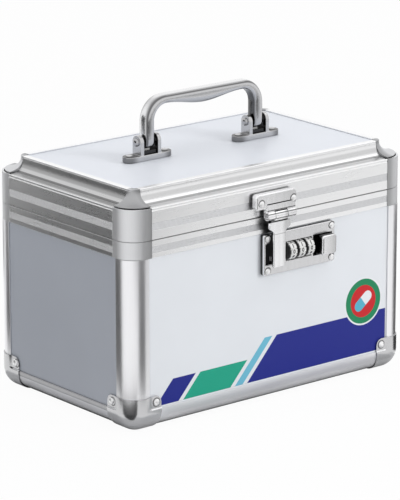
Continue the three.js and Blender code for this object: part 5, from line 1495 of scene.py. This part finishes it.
for side, middle in (("left", -HINGE_OFFSET), ("right", HINGE_OFFSET)):
    for level, body in (("lower", "case"), ("upper", "lid")):
        dress_form(f"{level}_hinge_leaf_{side}", hinge_leaf_mesh, body, "hinge_steel", steel_finish,
                   middle, level == "upper")


# Boards and the hidden rods keep their solids and take new finishes

NEW_FINISHES = {
    "front_panel": printed_front(),
    "back_panel": board("white_board", WHITE_BOARD, "Y", CASE_BACK - PANEL_INSET - BOARD_MIDDLE, -1),
    "left_panel": board("grey_board_left", GREY_BOARD, "X", CASE_LEFT + PANEL_INSET + BOARD_MIDDLE, 1),
    "right_panel": board("grey_board_right", GREY_BOARD, "X", CASE_RIGHT - PANEL_INSET - BOARD_MIDDLE, -1),
    "bottom_panel": board("grey_board_bottom", GREY_BOARD, "Z", PANEL_INSET + BOTTOM_BOARD_MIDDLE, 1),
    "top_panel": board("top_board", TOP_BOARD, "Z", PANEL_TOP - BOARD_MIDDLE, -1),
    "dial_shaft": steel_finish,
    "hasp_pin": steel_finish,
    "hinge_pin_left": steel_finish,
    "hinge_pin_right": steel_finish,
    "lock_cover": black_and_shade_finish,
}
for node, finish in NEW_FINISHES.items():
    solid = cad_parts[node].data
    solid.materials.clear()
    solid.materials.append(finish.material)


# Stage, in metres

FLOOR_REACH = 6.0
LIE = 0.0005
CORNER_X, CORNER_Y = CASE_LEFT * MM, CASE_FRONT * MM
UNDER_MARGIN = 0.014
CASE_CENTRE = (0, 0, 0.09)


def flat(name, corners, finish):
    """A stage piece with four corners."""
    mesh = bpy.data.meshes.new(name)
    mesh.from_pydata([tuple(c) for c in corners], [], [(0, 1, 2, 3)])
    mesh.materials.append(finish.material)
    piece = new_object(name, mesh)
    return piece


def level(x0, x1, y0, y1, height=LIE):
    """The corners of a level rectangle."""
    return [(x, y, height) for x, y in box_outline(x0, x1, y0, y1)]


def wedge(near, far, start, end, side=1):
    """Four places round a piece of floor, between two distances in metres and two directions in degrees
    from the case's front left corner, or from its front right corner with a side of -1."""
    return [(CORNER_X * side + reach * math.cos(math.radians(angle)),
             CORNER_Y + reach * math.sin(math.radians(angle)), LIE)
            for reach, angle in ((near, start), (far, start), (far, end), (near, end))]


def floor_finish():
    """Pale and plain; the camera and glossy surfaces see it nearly white, with the object's shadow."""
    finish = Finish("pale_floor", 0.9)
    finish.set("Specular IOR Level", 0.0)
    finish.set("Base Color", (0.9, 0.9, 0.9, 1))
    plain = Value(finish, finish.shader.outputs[0])
    glow = finish.add("ShaderNodeEmission", {}, {"Strength": 1.0})
    share = finish.seen_by("Camera", "Glossy") * 0.96
    finish.feed(finish.output.inputs[0], finish.add("ShaderNodeMixShader", {}, {0: share, 1: plain, 2: glow}))
    return finish


def flag(name, corners, tone):
    """A grey studio card that only shiny surfaces see."""
    finish = Finish(name, 0.9)
    grey = (tone, tone, tone)
    finish.set("Base Color", finish.mix(finish.noise(30, 2), shade(grey, 0.8), shade(grey, 1.2)))
    finish.set("Specular IOR Level", 0.0)
    card = flat(name, corners, finish)
    card.visible_camera = False
    card.visible_diffuse = False
    card.visible_shadow = False
    card.visible_transmission = False


def area_light(name, place, size, power, mirrored=False):
    """A soft lamp aimed at the case. Unless it is mirrored, the metal doesn't show it; a mirrored one only
    puts a glint on the metal."""
    lamp = bpy.data.lights.new(name, "AREA")
    lamp.shape = "RECTANGLE"
    lamp.size = size[0]
    lamp.size_y = size[1]
    lamp.energy = power
    holder = bpy.data.objects.new(name, lamp)
    holder.location = place
    holder.rotation_euler = (Vector(CASE_CENTRE) - Vector(place)).to_track_quat("-Z", "Y").to_euler()
    holder.visible_glossy = mirrored
    holder.visible_diffuse = not mirrored
    bpy.context.scene.collection.objects.link(holder)


def studio_world():
    """White to the camera and to glossy and clear surfaces, and a plain dim fill for the rest."""
    world = bpy.data.worlds.new("studio")
    world.use_nodes = True
    bpy.context.scene.world = world
    studio = Nodes(world.node_tree)
    fill = studio.add("ShaderNodeBackground", {}, {"Color": (0.95, 0.97, 1.0, 1), "Strength": 0.42})
    white = studio.add("ShaderNodeBackground", {}, {"Color": (1, 1, 1, 1), "Strength": 1.0})
    share = studio.seen_by("Camera", "Glossy", "Transmission")
    output = studio.tree.nodes.new("ShaderNodeOutputWorld")
    studio.feed(output.inputs[0], studio.add("ShaderNodeMixShader", {}, {0: share, 1: fill, 2: white}))


flat("floor", level(-FLOOR_REACH, FLOOR_REACH, -FLOOR_REACH, FLOOR_REACH, 0), floor_finish())
area_light("key_front_right", (1.1, -2.0, 0.9), (0.9, 0.9), 22)
area_light("top_soft", (0.2, 0.1, 2.2), (3.0, 3.0), 24)
area_light("glint_soft", (1.6, -0.17, 2.07), (1.1, 0.4), 1.1, mirrored=True)
flag("flag_left_floor", [(-0.18, CORNER_Y + 0.03, LIE), (-0.62, CORNER_Y + 0.22, LIE),
                         (-0.48, CORNER_Y + 0.74, LIE), (-0.18, CORNER_Y + 0.30, LIE)], 0.09)
flag("flag_left_card", [(-0.62, CORNER_Y + 0.22, 0.01), (-0.48, CORNER_Y + 0.74, 0.01),
                        (-0.48, CORNER_Y + 0.74, 0.30), (-0.62, CORNER_Y + 0.22, 0.30)], 0.09)
flag("flag_right_floor", wedge(0.03, 0.6, 338, 400, -1), 0.08)
flag("flag_ahead", wedge(0.09, 1.2, 262, 307), 0.1)
flag("flag_corner", wedge(0.004, 0.093, 154, 254), 0.1)
flag("flag_far", wedge(0.53, 1.1, 232, 304), 0.04)
flag("flag_front_far", level(0.20, 0.66, -0.80, -0.52), 0.35)
flag("flag_behind", [(-0.25, 0.44, LIE), (0.15, 0.25, LIE), (0.8, 0.25, LIE), (0.5, 0.9, LIE)], 0.3)
flag("flag_foot", level(-0.085, 0.125, CORNER_Y - 0.045, CORNER_Y - 0.002), 0.72)
under_x = CASE_RIGHT * MM + UNDER_MARGIN
under_y = CASE_BACK * MM + UNDER_MARGIN
flag("flag_under", level(-under_x, under_x, -under_y, under_y, LIE / 2), 0.9)
studio_world()

# Camera: the photograph's viewing angle

VIEW_AZIMUTH = math.radians(-39.302)
VIEW_ELEVATION = math.radians(15.693)
VIEW_ROLL = math.radians(-0.057)
VIEW_DISTANCE = 2.3008
VIEW_TARGET = Vector((0.01433, 0.02115, 0.08583))
FOCAL_PIXELS = 3213.6
FRAME_PIXELS = 500
SENSOR = 36.0

view = Vector((
    -math.sin(VIEW_AZIMUTH) * math.cos(VIEW_ELEVATION),
    math.cos(VIEW_AZIMUTH) * math.cos(VIEW_ELEVATION),
    -math.sin(VIEW_ELEVATION)))
camera_data = bpy.data.cameras.new("camera")
camera_data.sensor_width = SENSOR
camera_data.lens = FOCAL_PIXELS / FRAME_PIXELS * SENSOR
camera_data.clip_end = 50
camera = bpy.data.objects.new("camera", camera_data)
camera.location = VIEW_TARGET - view * VIEW_DISTANCE
look = view.to_track_quat("-Z", "Y").to_matrix() @ Matrix.Rotation(VIEW_ROLL, 3, "Z")
camera.rotation_euler = look.to_euler()
bpy.context.scene.collection.objects.link(camera)
bpy.context.scene.camera = camera
bpy.context.scene.view_settings.view_transform = "Standard"
